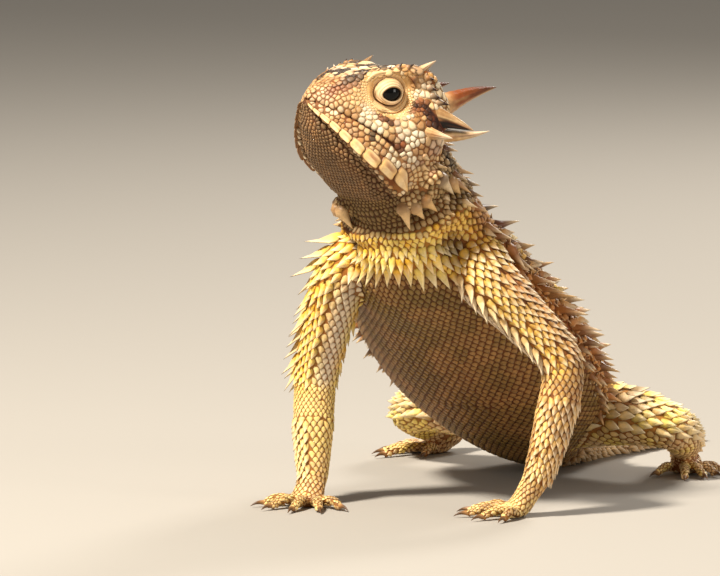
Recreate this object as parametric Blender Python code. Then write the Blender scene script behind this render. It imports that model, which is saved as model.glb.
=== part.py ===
"""A life-size horned lizard that pushes its chest up on straight forelegs and looks up to its right.

Units are metres, +Z is up, the body faces -Y and its left side is +X. Every solid stays over the floor at Z = 0.
Lengths in the tables below are millimetres, the unit such an animal is measured in, and MM turns them into metres.
Each node is a core of flesh, with its pointed scales and spines fused into it by one union.
"""

import math
from dataclasses import dataclass

import bmesh
import bpy
import numpy as np
from mathutils import Matrix, Vector
from mathutils.bvhtree import BVHTree

NAME = "horned_lizard"
MM = 0.001
GAP = 0.3 * MM  # room that touching pieces keep
STEP = 0.05 * MM  # short step that slopes are measured over
UP = np.array((0.0, 0.0, 1.0))
LEFT = np.array((1.0, 0.0, 0.0))

# The middle of the animal's footprint in body coordinates, which becomes the origin.
FOOTPRINT_MIDDLE = np.array((-0.18, 34.52, 0.0))

# Axis of the body from the head to the tip of the tail: x, y, z, half width, height over and depth under the axis.
AXIS = (
    (-3.3, -7.3, 55.4, 7.6, 6.6, 7.0),
    (-1.9, -4.3, 51.6, 9.0, 7.2, 8.0),
    (-0.7, -1.6, 47.2, 9.2, 7.4, 8.8),
    (0.0, 0.8, 42.8, 10.2, 7.6, 9.6),
    (0.0, 4.5, 37.8, 12.8, 8.0, 10.6),
    (0.0, 11.0, 32.0, 15.4, 8.4, 9.8),
    (0.0, 22.0, 23.4, 17.8, 8.8, 9.6),
    (0.0, 33.5, 15.2, 16.6, 8.0, 9.4),
    (0.0, 43.0, 9.6, 12.0, 6.6, 8.4),
    (0.2, 49.5, 7.0, 8.0, 5.2, 7.3),
    (1.2, 57.5, 4.6, 5.3, 3.8, 5.1),
    (3.6, 68.0, 3.0, 3.4, 2.5, 3.4),
    (7.6, 80.0, 1.7, 1.7, 1.4, 2.0),
    (10.6, 87.5, 1.0, 0.7, 0.7, 1.2),
)
NECK_TURN = 16.0  # length over which the axis turns from the head's left to the body's left
HEAD_YAW = math.radians(27.0)
HEAD_PITCH = math.radians(34.0)
SNOUT = np.array((-8.8, -17.9, 60.6))  # front of the mouth line

# Lines that run back over the left half of the head: y behind the snout, x to the left, z over the mouth line.
HEAD_LINES = {
    "crown": ((0.4, 0, 1.9), (1.2, 0, 3.4), (2.6, 0, 5.4), (6, 0, 8.7), (9.5, 0, 11.2), (12.5, 0, 12.2),
              (16, 0, 12.2), (19, 0, 11.3), (20.8, 0, 9.2)),
    "brow": ((0.4, 0.8, 1.7), (1.2, 1.8, 3.0), (2.6, 3.1, 5.1), (6, 5.1, 8.8), (9.5, 6.7, 11.8),
             (12.5, 7.1, 12.8), (16, 6.6, 12.0), (19, 5.8, 10.6), (20.8, 4.2, 8.8)),
    "orbit": ((0.4, 1.0, 1.2), (1.2, 2.0, 2.1), (2.6, 3.7, 3.6), (6, 5.5, 6.2), (9.5, 6.6, 8.2),
              (12.5, 7.6, 9.4), (16, 8.6, 9.2), (19, 8.0, 7.8), (20.8, 6.0, 6.4)),
    "cheek": ((0.4, 1.1, 0.6), (1.2, 2.2, 1.0), (2.6, 4.1, 1.6), (6, 6.4, 2.7), (9.5, 7.9, 3.5),
              (12.5, 9.2, 4.2), (16, 10.1, 4.8), (19, 9.2, 4.4), (20.8, 6.8, 3.4)),
    "lip": ((0.4, 1.1, 0.0), (1.2, 2.2, 0.1), (2.6, 3.9, 0.1), (6, 6.6, 0.1), (9.5, 8.3, 0.0),
            (12.5, 9.2, -0.3), (16, 9.6, -0.6), (19, 8.6, -0.4), (20.8, 6.4, 0.0)),
    "rim": ((0.4, 0.9, -0.5), (1.2, 1.7, -0.9), (2.6, 3.2, -1.4), (6, 6.2, -2.7), (9.5, 8.1, -3.8),
            (12.5, 8.8, -4.2), (16, 8.4, -4.6), (19, 7.2, -4.6), (20.8, 5.2, -3.8)),
    "gular": ((0.4, 0.4, -0.7), (1.2, 0.9, -1.3), (2.6, 1.9, -2.5), (6, 3.6, -4.3), (9.5, 4.8, -5.5),
              (12.5, 5.2, -6.1), (16, 5.2, -6.7), (19, 4.6, -6.3), (20.8, 3.4, -5.0)),
    "chin": ((0.4, 0, -0.8), (1.2, 0, -1.5), (2.6, 0, -2.8), (6, 0, -4.7), (9.5, 0, -5.9), (12.5, 0, -6.5),
             (16, 0, -7.1), (19, 0, -6.6), (20.8, 0, -5.2)),
}
HEAD_START = 0.4
HEAD_LENGTH = 20.8
MOUTH_LINE = ((-3.0, 0.1), (0.0, 0.1), (6.0, 0.1), (9.5, 0.0), (12.0, -0.5), (14.0, -1.3), (16.2, -10.0))

EYE_CENTRE = (4.85, 8.3, 6.9)
EYE_RADIUS = 2.15
LID_THICKNESS = 0.5
LID_OPENING = (1.5, 1.0)  # half length and half height of the slit that shows the eye
LID_TILT = math.radians(30.0)  # rise of the slit towards the back
NOSTRIL = (2.4, 2.0, 4.3)
NOSTRIL_RADIUS = 0.42

# Crown of horns on the left side of the head: root, tip, root radius, and how far the horn bows up.
HORNS = {
    "occipital_horn": ((5.0, 19.0, 10.4), (5.4, 25.7, 17.5), 1.75, 0.5),
    "temporal_horn_upper": ((8.0, 18.0, 8.0), (11.2, 23.8, 9.8), 1.5, -0.4),
    "temporal_horn_middle": ((8.9, 16.4, 6.4), (11.8, 20.8, 8.0), 1.35, -0.2),
    "temporal_horn_lower": ((9.2, 15.0, 4.0), (12.0, 17.6, 4.6), 1.15, -0.1),
    "brow_horn": ((6.3, 10.4, 11.5), (7.4, 12.6, 14.5), 1.05, 0.2),
}
HORN_SUNK = 1.6  # length of a horn's root before it is cut to the skin

# Limbs as x, y, z, half width, height over and depth under the bone.
RIGHT_ARM = (
    (-7.6, 3.6, 37.4, 4.8, 4.8, 4.8),
    (-11.2, 0.8, 33.4, 4.3, 4.3, 4.3),
    (-13.6, 0.2, 26.0, 3.5, 3.6, 3.6),
    (-15.6, 0.6, 18.4, 3.1, 3.3, 3.2),
    (-15.3, -1.0, 10.8, 3.0, 3.0, 3.0),
    (-14.4, -2.9, 3.8, 2.2, 2.2, 2.2),
)
LEFT_ARM = (
    (7.6, 3.6, 37.4, 4.8, 4.8, 4.8),
    (11.4, 1.0, 33.6, 4.3, 4.3, 4.3),
    (16.8, 2.3, 28.0, 3.6, 3.7, 3.7),
    (22.0, 3.8, 21.4, 3.1, 3.2, 3.2),
    (21.5, 2.0, 13.2, 2.9, 2.9, 2.9),
    (20.0, -0.3, 5.2, 2.2, 2.2, 2.2),
)
LEFT_LEG = (
    (5.0, 44.0, 8.6, 5.2, 5.0, 5.0),
    (11.0, 43.2, 9.2, 4.9, 4.7, 4.7),
    (17.5, 42.3, 9.2, 4.3, 4.2, 4.2),
    (23.2, 43.4, 7.8, 3.4, 3.4, 3.4),
    (22.6, 49.6, 5.4, 3.1, 3.0, 3.0),
    (19.6, 56.2, 3.1, 2.1, 2.0, 2.0),
)
RIGHT_LEG = (
    (-5.0, 44.4, 8.6, 5.2, 5.0, 5.0),
    (-10.5, 45.0, 9.2, 4.9, 4.7, 4.7),
    (-16.4, 45.6, 9.0, 4.3, 4.2, 4.2),
    (-21.6, 47.6, 7.6, 3.4, 3.4, 3.4),
    (-21.8, 54.0, 5.2, 3.1, 3.0, 3.0),
    (-19.6, 60.6, 3.1, 2.1, 2.0, 2.0),
)
BEND = 3  # station of the elbow or knee

# Each limb: its stations, the hint for its tube's left, its two nodes and the side that it is on.
LIMBS = {
    "arm_right": (RIGHT_ARM, (0, 1, 0.3), ("upper_arm_right", "forearm_right"), -1),
    "arm_left": (LEFT_ARM, (0, 1, 0.3), ("upper_arm_left", "forearm_left"), 1),
    "leg_right": (RIGHT_LEG, (0, 0, 1), ("thigh_right", "shin_right"), -1),
    "leg_left": (LEFT_LEG, (0, 0, 1), ("thigh_left", "shin_left"), 1),
}

# Lengths of the body, as start and end along the axis, rings along it and sides round it.
NODES_OF_AXIS = (
    ("neck", 0.0, 14.4, 7, 22),
    ("chest", 14.4, 35.0, 8, 28),
    ("abdomen", 35.0, 57.0, 7, 28),
    ("pelvis", 57.0, 77.0, 8, 24),
    ("tail_base", 77.0, 96.0, 6, 16),
    ("tail_tip", 96.0, None, 6, 12),
)

# Digits of a foot: the angle from the middle one and the length. The feet: limb, heading, palm length and half width.
HAND_DIGITS = ((-52, 3.6), (-24, 5.0), (2, 5.8), (27, 5.2), (56, 3.8))
FOOT_DIGITS = ((-40, 3.4), (-20, 5.0), (-4, 6.8), (12, 8.4), (44, 4.6))
FEET = {
    "hand_right": ("arm_right", (0.08, -0.997), 4.2, 2.6, HAND_DIGITS),
    "hand_left": ("arm_left", (-0.80, -0.60), 4.9, 2.7, HAND_DIGITS),
    "foot_right": ("leg_right", (-0.62, -0.78), 6.4, 2.6, FOOT_DIGITS),
    "foot_left": ("leg_left", (0.56, -0.83), 6.4, 2.6, FOOT_DIGITS),
}
DIGIT_RADIUS = 0.72
SOLE_HEIGHT = 0.8  # height of the bones of palm and digits over the floor
CLAW_LENGTH = 2.0
PALM_ROOT = 0.8  # how far a palm starts up its limb, before it is cut to the limb's end


@dataclass(frozen=True)
class Row:
    """A row of pointed scales along a tube, in millimetres and degrees round it from its left side."""

    angle: float
    first: float
    last: float
    count: int
    length: float
    end_length: float
    width: float = 1.5
    lean: float = 0.45


# Rows of the left half of the body, which are mirrored to the right.
BODY_ROWS = (
    Row(76, 16.5, 74.0, 10, 2.2, 1.8),
    Row(56, 19.5, 71.0, 9, 2.7, 2.0, 1.7),
    Row(38, 23.5, 74.0, 9, 2.8, 2.0, 1.7),
    Row(20, 27.5, 66.0, 6, 2.3, 2.0),
    Row(4, 25.5, 71.5, 17, 3.2, 2.6, 1.5, 0.3),
    Row(-13, 27.0, 67.0, 13, 2.0, 1.8, 1.3, 0.35),
    Row(5, 79.0, 112.0, 11, 2.4, 1.0, 1.3, 0.5),
    Row(52, 79.0, 106.0, 7, 1.9, 0.9, 1.2, 0.5),
    Row(76, 6.0, 13, 3, 1.6, 1.8, 1.2),
    Row(44, 5.5, 13, 3, 2.2, 2.2, 1.5),
    Row(18, 10.4, 12.4, 2, 2.3, 1.6, 1.3),
    Row(-2, 7.6, 12.0, 3, 3.0, 1.5, 1.6, 0.6),
    Row(-30, 9.2, 12.4, 3, 2.2, 1.6, 1.4, 0.6),
    Row(-44, 8.6, 11.4, 2, 1.9, 1.5, 1.3, 0.6),
)
# Rows of a right arm, whose tube has 0 at the back and 90 outside, and of a right leg, with 0 on top and 90 in front.
ARM_ROWS = (
    Row(90, 8.0, 35.0, 11, 1.7, 1.5, 1.5, 0.6),
    Row(45, 9.5, 33.0, 9, 1.6, 1.4, 1.5, 0.6),
    Row(135, 9.5, 33.0, 9, 1.6, 1.4, 1.5, 0.6),
    Row(0, 12.0, 30.0, 6, 1.4, 1.2, 1.3, 0.6),
)
LEG_ROWS = (
    Row(0, 8.5, 31.0, 8, 1.7, 1.3, 1.5, 0.55),
    Row(45, 9.5, 29.0, 7, 1.8, 1.4, 1.6, 0.55),
    Row(90, 11.0, 31.0, 7, 1.8, 1.4, 1.5, 0.5),
    Row(-45, 10.0, 28.0, 6, 1.6, 1.3, 1.5, 0.55),
)
# Rows of pointed plates across the front of the chest: place along the axis, count, half spread, length.
COLLAR_ROWS = ((16.2, 12, 66.0, 1.9), (18.6, 13, 68.0, 2.2), (21.0, 12, 64.0, 2.4))
RIM_PLATES = 8  # plates along each edge of the lower jaw, before the large one at its corner
CORNER_PLATE = ((8.7, 13.0, -4.1), (9.9, 17.0, -3.9))
SPINE_SUNK = 0.8  # how far a spine's root is sunk into the flesh
SKIN_ERROR = 0.45 * MM  # largest distance of a spine's place from the faceted skin
FLOOR_ROOM = 0.2 * MM  # height that spines keep over the floor

# Colour, roughness and metallic value of each kind of piece.
FINISHES = {
    "skin_head": ((0.72, 0.52, 0.34), 0.7, 0.0),
    "skin_body": ((0.46, 0.33, 0.18), 0.75, 0.0),
    "skin_limb": ((0.70, 0.55, 0.27), 0.7, 0.0),
    "horn": ((0.62, 0.42, 0.26), 0.45, 0.0),
    "eye": ((0.01, 0.008, 0.006), 0.08, 0.0),
}
FINISH_OF = {"head": "skin_head", "jaw": "skin_head", "eye": "eye", "horn": "horn", "neck": "skin_body",
             "chest": "skin_body", "abdomen": "skin_body", "pelvis": "skin_body", "tail": "skin_body"}


def unit(v):
    """Vectors scaled to length one."""
    v = np.asarray(v, float)
    return v / np.maximum(np.linalg.norm(v, axis=-1, keepdims=True), 1e-12)


def cubic(keys, t):
    """Rows at t of the smooth curve through keys, whose first column is t."""
    keys = np.asarray(keys, float)
    t = np.atleast_1d(np.asarray(t, float))
    knots, values = keys[:, 0], keys[:, 1:]
    slope = np.gradient(values, knots, axis=0)
    i = np.clip(np.searchsorted(knots, t) - 1, 0, len(knots) - 2)
    span = (knots[i + 1] - knots[i])[:, None]
    s = (t - knots[i])[:, None] / span
    near = (2 * s**3 - 3 * s**2 + 1) * values[i] + (s**3 - 2 * s**2 + s) * span * slope[i]
    far = (3 * s**2 - 2 * s**3) * values[i + 1] + (s**3 - s**2) * span * slope[i + 1]
    return near + far


class Tube:
    """A soft tube through stations, whose left side turns towards a hint that may change over the first stretch."""

    def __init__(self, stations, hint, start_hint=None, turn=1.0, edge=1.0):
        rows = np.array(stations, float) * MM
        steps = np.linalg.norm(np.diff(rows[:, :3], axis=0), axis=1)
        self.keys = np.column_stack([np.append(0.0, np.cumsum(steps)), rows])
        self.length = self.keys[-1, 0]
        self.hint = np.asarray(hint, float)
        self.start_hint = self.hint if start_hint is None else np.asarray(start_hint, float)
        self.turn = turn
        self.edge = edge

    def frame(self, s):
        """Centre, left, up and tangent at s, and the half sizes there."""
        s = np.atleast_1d(np.asarray(s, float))
        rows = cubic(self.keys, s)
        tangent = unit(cubic(self.keys, s + STEP)[:, :3] - cubic(self.keys, s - STEP)[:, :3])
        share = np.clip(s / self.turn, 0, 1)[:, None]
        hint = self.start_hint + (self.hint - self.start_hint) * share
        left = unit(hint - (hint * tangent).sum(1, keepdims=True) * tangent)
        return rows[:, :3], left, np.cross(left, tangent), tangent, rows[:, 3:]

    def points(self, s, angle, grow=0.0):
        """Points at s along the tube and at angle round it, from the left side over the top."""
        centre, left, up, _, size = self.frame(s)
        cos, sin = np.cos(angle)[..., None], np.sin(angle)[..., None]
        height = np.where(sin > 0, size[:, 1:2], size[:, 2:3]) + grow
        width = size[:, 0:1] + grow
        return centre + left * width * cos + up * height * np.sign(sin) * np.abs(sin) ** self.edge

    def surface(self, s, angle):
        """Point, outward normal and direction along the tube at one place on it."""
        s, angle = np.array([s]), np.array([angle])
        here = self.points(s, angle)[0]
        along = unit(self.points(s + STEP, angle)[0] - self.points(s - STEP, angle)[0])
        round_it = self.points(s, angle + 0.01)[0] - self.points(s, angle - 0.01)[0]
        normal = unit(np.cross(round_it, along))
        outward = here - self.frame(s)[0][0]
        return here, normal * np.sign(normal @ outward), along

    def rings(self, start, end, count, sides, grow=0.0):
        """An array of rings from start to end along the tube, kept over the floor."""
        s = np.repeat(np.linspace(start, end, count), sides)
        angle = np.tile(np.arange(sides) * 2 * math.pi / sides, count)
        grid = self.points(s, angle, grow)
        grid[:, 2] = np.maximum(grid[:, 2], -grow)
        return grid.reshape(count, sides, 3)


class Head:
    """The head as a skin through the lines that run over it, in its own frame: left, back and up from the snout."""

    def __init__(self):
        forward = np.array((
            -math.sin(HEAD_YAW) * math.cos(HEAD_PITCH),
            -math.cos(HEAD_YAW) * math.cos(HEAD_PITCH),
            math.sin(HEAD_PITCH),
        ))
        self.left = np.array((math.cos(HEAD_YAW), -math.sin(HEAD_YAW), 0.0))
        self.back = -forward
        self.up = np.cross(forward, self.left)

    def place(self, local, side=1):
        """World points of local millimetre points, mirrored to the right where side is -1."""
        p = np.asarray(local, float) * MM * (side, 1, 1)
        return SNOUT * MM + p[..., 0:1] * self.left + p[..., 1:2] * self.back + p[..., 2:3] * self.up

    def line(self, name, y):
        """Local points of one of the head's lines at y."""
        xz = cubic(HEAD_LINES[name], y)
        return np.column_stack([xz[:, 0], y, xz[:, 1]])

    def rings(self, count, between):
        """An array of rings from the snout to the nape, with points between each two lines."""
        share = np.linspace(0, 1, count)
        eased = share - 0.12 * np.sin(2 * math.pi * share) / math.pi
        y = HEAD_START + (HEAD_LENGTH - HEAD_START) * eased
        left = [self.line(name, y) for name in HEAD_LINES]
        mirror = np.array((-1.0, 1.0, 1.0))
        knots = np.array(left + [row * mirror for row in left[-2:0:-1]])
        sides = len(knots)
        wrapped = np.concatenate([knots[-2:], knots, knots[:2]])
        keys = np.column_stack([np.arange(-2, sides + 2), wrapped.reshape(sides + 4, -1)])
        grid = cubic(keys, np.arange(sides * between) / between).reshape(sides * between, count, 3)
        return self.place(grid.transpose(1, 0, 2))


HEAD = Head()
BODY = Tube(AXIS, LEFT, HEAD.left, NECK_TURN * MM, edge=1.12)


def finish_mesh(bm, name, group):
    """A mesh object in triangles with its faces turned out, in a collection."""
    bmesh.ops.recalc_face_normals(bm, faces=bm.faces)
    bmesh.ops.triangulate(bm, faces=bm.faces)
    mesh = bpy.data.meshes.new(name)
    bm.to_mesh(mesh)
    bm.free()
    obj = bpy.data.objects.new(name, mesh)
    group.objects.link(obj)
    return obj


def loft(name, rings, group):
    """A closed solid over an array of rings, with a point at the middle of each end."""
    count, sides = rings.shape[:2]
    bm = bmesh.new()
    grid = [[bm.verts.new(p) for p in ring] for ring in rings]
    ends = [bm.verts.new(rings[0].mean(0)), bm.verts.new(rings[-1].mean(0))]
    for k in range(sides):
        n = (k + 1) % sides
        for r in range(count - 1):
            bm.faces.new((grid[r][k], grid[r][n], grid[r + 1][n], grid[r + 1][k]))
        bm.faces.new((ends[0], grid[0][n], grid[0][k]))
        bm.faces.new((ends[1], grid[-1][k], grid[-1][n]))
    return finish_mesh(bm, name, group)


def frame_matrix(x, y, z, origin):
    """A matrix whose columns are three axes and an origin."""
    matrix = Matrix.Identity(4)
    for k, column in enumerate((x, y, z, origin)):
        for row in range(3):
            matrix[row][k] = column[row]
    return matrix


def ball(name, centre, radius, group, flatness=1.0, segments=12):
    """A ball whose poles lie to the head's left and right, flattened between them."""
    bm = bmesh.new()
    axes = frame_matrix(HEAD.back, HEAD.up, HEAD.left * flatness, centre)
    bmesh.ops.create_uvsphere(bm, u_segments=segments, v_segments=segments // 2, radius=radius, matrix=axes)
    return finish_mesh(bm, name, group)


def cone(name, base, tip, across, over, group, sides=4):
    """A cone with an oval base, which may lean, from a base point to a tip."""
    bm = bmesh.new()
    axes = frame_matrix(across, over, tip - base, (base + tip) / 2)
    bmesh.ops.create_cone(bm, cap_ends=True, segments=sides, radius1=1.0, radius2=0.0, depth=1.0, matrix=axes)
    return finish_mesh(bm, name, group)


def horn_rings(root, tip, radius, bow, count, sides):
    """Rings of a horn that bows up from root to tip and narrows to a point."""
    axis = unit(tip - root)
    across = unit(np.cross(axis, HEAD.up))
    over = np.cross(across, axis)
    rings = []
    for share in np.linspace(0, 1, count):
        centre = root + (tip - root) * share + over * bow * 4 * share * (1 - share)
        size = radius * max(1 - share, 0.04) ** 0.8
        angle = np.arange(sides) * 2 * math.pi / sides
        rings.append(centre + size * (np.outer(np.cos(angle), across) + np.outer(np.sin(angle), over)))
    return np.array(rings)


def shells(obj):
    """The separate closed surfaces of a mesh object, as lists of its face numbers, largest area first."""
    mesh = obj.data
    parent = np.arange(len(mesh.vertices))
    edges = np.array([edge.vertices[:] for edge in mesh.edges])
    while True:
        low = np.minimum(parent[edges[:, 0]], parent[edges[:, 1]])
        before = parent.copy()
        np.minimum.at(parent, edges[:, 0], low)
        np.minimum.at(parent, edges[:, 1], low)
        parent = parent[parent]
        if (parent == before).all():
            break
    groups = {}
    for face in mesh.polygons:
        groups.setdefault(int(parent[face.vertices[0]]), []).append(face.index)
    return sorted(groups.values(), key=lambda group: -sum(mesh.polygons[k].area for k in group))


def keep_faces(obj, faces):
    """Deletes all faces of a mesh object but the given ones."""
    wanted = set(faces)
    bm = bmesh.new()
    bm.from_mesh(obj.data)
    bmesh.ops.delete(bm, geom=[f for f in bm.faces if f.index not in wanted], context="FACES")
    bmesh.ops.delete(bm, geom=[v for v in bm.verts if not v.link_faces], context="VERTS")
    bm.to_mesh(obj.data)
    bm.free()


def boolean(obj, operation, other, whole=True):
    """Applies one Boolean with an object or a collection and removes that, then keeps the largest surface."""
    modifier = obj.modifiers.new(operation.lower(), "BOOLEAN")
    modifier.operation = operation
    modifier.solver = "MANIFOLD"
    group = isinstance(other, bpy.types.Collection)
    modifier.operand_type = "COLLECTION" if group else "OBJECT"
    if group:
        modifier.collection = other
    else:
        modifier.object = other
    graph = bpy.context.evaluated_depsgraph_get()
    mesh = bpy.data.meshes.new_from_object(obj.evaluated_get(graph))
    obj.modifiers.clear()
    obj.data = mesh
    for piece in list(other.objects) if group else [other]:
        bpy.data.objects.remove(piece)
    if group:
        bpy.data.collections.remove(other)
    if whole:
        keep_faces(obj, shells(obj)[0])


def new_collection(name):
    """A new collection in the scene."""
    group = bpy.data.collections.new(name)
    bpy.context.scene.collection.children.link(group)
    return group


def head_cutter(group):
    """The whole head grown by the gap, to cut what meets it."""
    rings = HEAD.rings(16, 2)
    outward = unit(rings - rings.mean(axis=1, keepdims=True))
    rings = rings + outward * GAP
    rings[0] -= HEAD.back * GAP
    rings[-1] += HEAD.back * GAP
    return loft("head_cutter", rings, group)


def eye_opening(side, group):
    """A long oval plug that opens the lids in front of an eye."""
    centre = HEAD.place(EYE_CENTRE, side)
    long_way = (HEAD.back * math.cos(LID_TILT) + HEAD.up * math.sin(LID_TILT)) * LID_OPENING[0] * MM
    short_way = (HEAD.up * math.cos(LID_TILT) - HEAD.back * math.sin(LID_TILT)) * LID_OPENING[1] * MM
    angle = np.arange(12) * 2 * math.pi / 12
    oval = np.outer(np.cos(angle), long_way) + np.outer(np.sin(angle), short_way)
    return loft("eye_opening", np.array([centre + HEAD.left * side * d * MM + oval for d in (0.5, 6.0)]), group)


def mouth_slab(group):
    """The thin bent slab that parts the lower jaw from the head along the mouth line and behind its corner."""
    line = np.array(MOUTH_LINE)
    way = unit(np.gradient(line, axis=0))
    offset = np.column_stack([-way[:, 1], way[:, 0]]) * GAP / MM / 2
    outline = np.concatenate([line + offset, (line - offset)[::-1]])
    rings = [HEAD.place(np.insert(outline, 0, x, axis=1)) for x in (-16.0, 16.0)]
    bm = bmesh.new()
    ends = [[bm.verts.new(p) for p in ring] for ring in rings]
    for k in range(len(outline)):
        n = (k + 1) % len(outline)
        bm.faces.new((ends[0][k], ends[0][n], ends[1][n], ends[1][k]))
    for end in ends:
        bm.faces.new(end)
    return finish_mesh(bm, "mouth_slab", group)


def build_head(group):
    """Head and lower jaw, parted by the mouth line, with an eye in each socket."""
    head = loft("head", HEAD.rings(17, 2), group)
    lids = new_collection("lids")
    for side in (1, -1):
        ball("lid", HEAD.place(EYE_CENTRE, side), (EYE_RADIUS + LID_THICKNESS) * MM, lids, segments=14)
    boolean(head, "UNION", lids)
    for word, side in (("left", 1), ("right", -1)):
        centre = HEAD.place(EYE_CENTRE, side)
        boolean(head, "DIFFERENCE", eye_opening(side, group))
        boolean(head, "DIFFERENCE", ball("socket", centre, EYE_RADIUS * MM + GAP, group))
        nostril = HEAD.place(NOSTRIL, side)
        boolean(head, "DIFFERENCE", ball("nostril", nostril, NOSTRIL_RADIUS * MM, group, segments=8))
        ball(f"eye_{word}", centre, EYE_RADIUS * MM, group)
    boolean(head, "DIFFERENCE", mouth_slab(group), whole=False)
    upper, lower = shells(head)[:2]
    jaw = bpy.data.objects.new("jaw", head.data.copy())
    group.objects.link(jaw)
    keep_faces(head, upper)
    keep_faces(jaw, lower)


def build_horns(group):
    """The crown of horns, each with its root cut to the skin of the head."""
    for name, (root, tip, radius, bow) in HORNS.items():
        for word, side in (("left", 1), ("right", -1)):
            foot, point = HEAD.place(root, side), HEAD.place(tip, side)
            sunk = foot - unit(point - foot) * HORN_SUNK * MM
            horn = loft(f"{name}_{word}", horn_rings(sunk, point, radius * MM, bow * MM, 6, 7), group)
            boolean(horn, "DIFFERENCE", head_cutter(group))


def build_axis(group):
    """Neck, chest, abdomen and tail, cut from one tube with a thin gap at each seam."""
    for name, start, end, count, sides in NODES_OF_AXIS:
        first = start * MM + (GAP / 2 if start else 0)
        last = BODY.length if end is None else end * MM - GAP / 2
        loft(name, BODY.rings(first, last, count, sides), group)
    boolean(group.objects["neck"], "DIFFERENCE", head_cutter(group))


def build_limb(key, group):
    """The two lengths of one limb, the upper one cut to the skin of the body, and the tube they follow."""
    stations, hint, names, _ = LIMBS[key]
    tube = Tube(stations, hint)
    upper = loft(names[0], limb_rings(tube, False), group)
    boolean(upper, "DIFFERENCE", loft("body_cutter", BODY.rings(0, BODY.length, 40, 28, GAP), group))
    lower = loft(names[1], limb_rings(tube, True), group)
    boolean(lower, "DIFFERENCE", loft("upper_cutter", limb_rings(tube, False, GAP), group))
    return tube


def limb_rings(tube, lower, grow=0.0):
    """The rings of a limb's upper or lower length, which may be grown to cut what meets its end."""
    bend = tube.keys[BEND, 0]
    start, end = (bend + GAP / 2, tube.length) if lower else (0, bend - GAP / 2)
    rings = tube.rings(start, end, 8, 12, grow)
    rings[-1] += tube.frame(end)[3] * grow
    return rings


def palm_tube(tube, forward, sideways, palm_length, palm_half):
    """The tube of a palm or sole, which runs from the end of a limb down to the floor, and its far end."""
    wrist, _, _, tangent, size = (value[0] for value in tube.frame(tube.length))
    start = wrist - tangent * PALM_ROOT * MM
    end = wrist + forward * palm_length * MM
    sections = (
        (0.0, *(size / MM)),
        (0.3, 2.3, 1.7, 1.9),
        (0.65, palm_half, 1.2, 2.0),
        (1.0, palm_half - 0.2, 0.8, 1.6),
    )
    rows = []
    for share, width, over, under in sections:
        centre = start + (end - start) * share
        height = start[2] + (SOLE_HEIGHT * MM - start[2]) * min(1.0, 1.25 * share) ** 0.8
        rows.append((centre[0] / MM, centre[1] / MM, height / MM, width, over, under))
    return Tube(rows, sideways), end


def build_foot(name, tube, group):
    """Palm, digits and claws of one foot, fused and flat on the floor."""
    limb, heading, palm_length, palm_half, digits = FEET[name]
    side = LIMBS[limb][3]
    forward = unit(np.array((*heading, 0.0)))
    sideways = np.cross(forward, UP)
    palm, end = palm_tube(tube, forward, sideways, palm_length, palm_half)
    foot = loft(name, palm.rings(0, palm.length, 5, 10), group)
    pieces = new_collection(name + "_digits")
    for angle, length in digits:
        turn = math.radians(angle) * side
        way = forward * math.cos(turn) + sideways * math.sin(turn)
        root = end - forward * 1.6 * MM + sideways * math.sin(turn) * palm_half * 0.95 * MM
        root[2] = SOLE_HEIGHT * MM
        knuckle = root + way * (length * 0.5 + 1.2) * MM + UP * 0.45 * MM
        tip = root + way * (length + 1.2) * MM - UP * 0.35 * MM
        sizes = ((root, 1.1), (knuckle, 1.0), (tip, 0.8))
        digit = Tube([(*(p / MM), *(DIGIT_RADIUS * size,) * 3) for p, size in sizes], sideways)
        loft("digit", digit.rings(0, digit.length, 3, 6), pieces)
        claw_tip = tip + way * CLAW_LENGTH * MM - UP * 0.3 * MM
        claw_root = tip - way * 0.5 * MM
        cone("claw", claw_root, claw_tip, sideways * 0.42 * MM, UP * 0.4 * MM, pieces)
    boolean(foot, "UNION", pieces)
    boolean(foot, "DIFFERENCE", loft("limb_cutter", limb_rings(tube, True, GAP), group))


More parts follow.
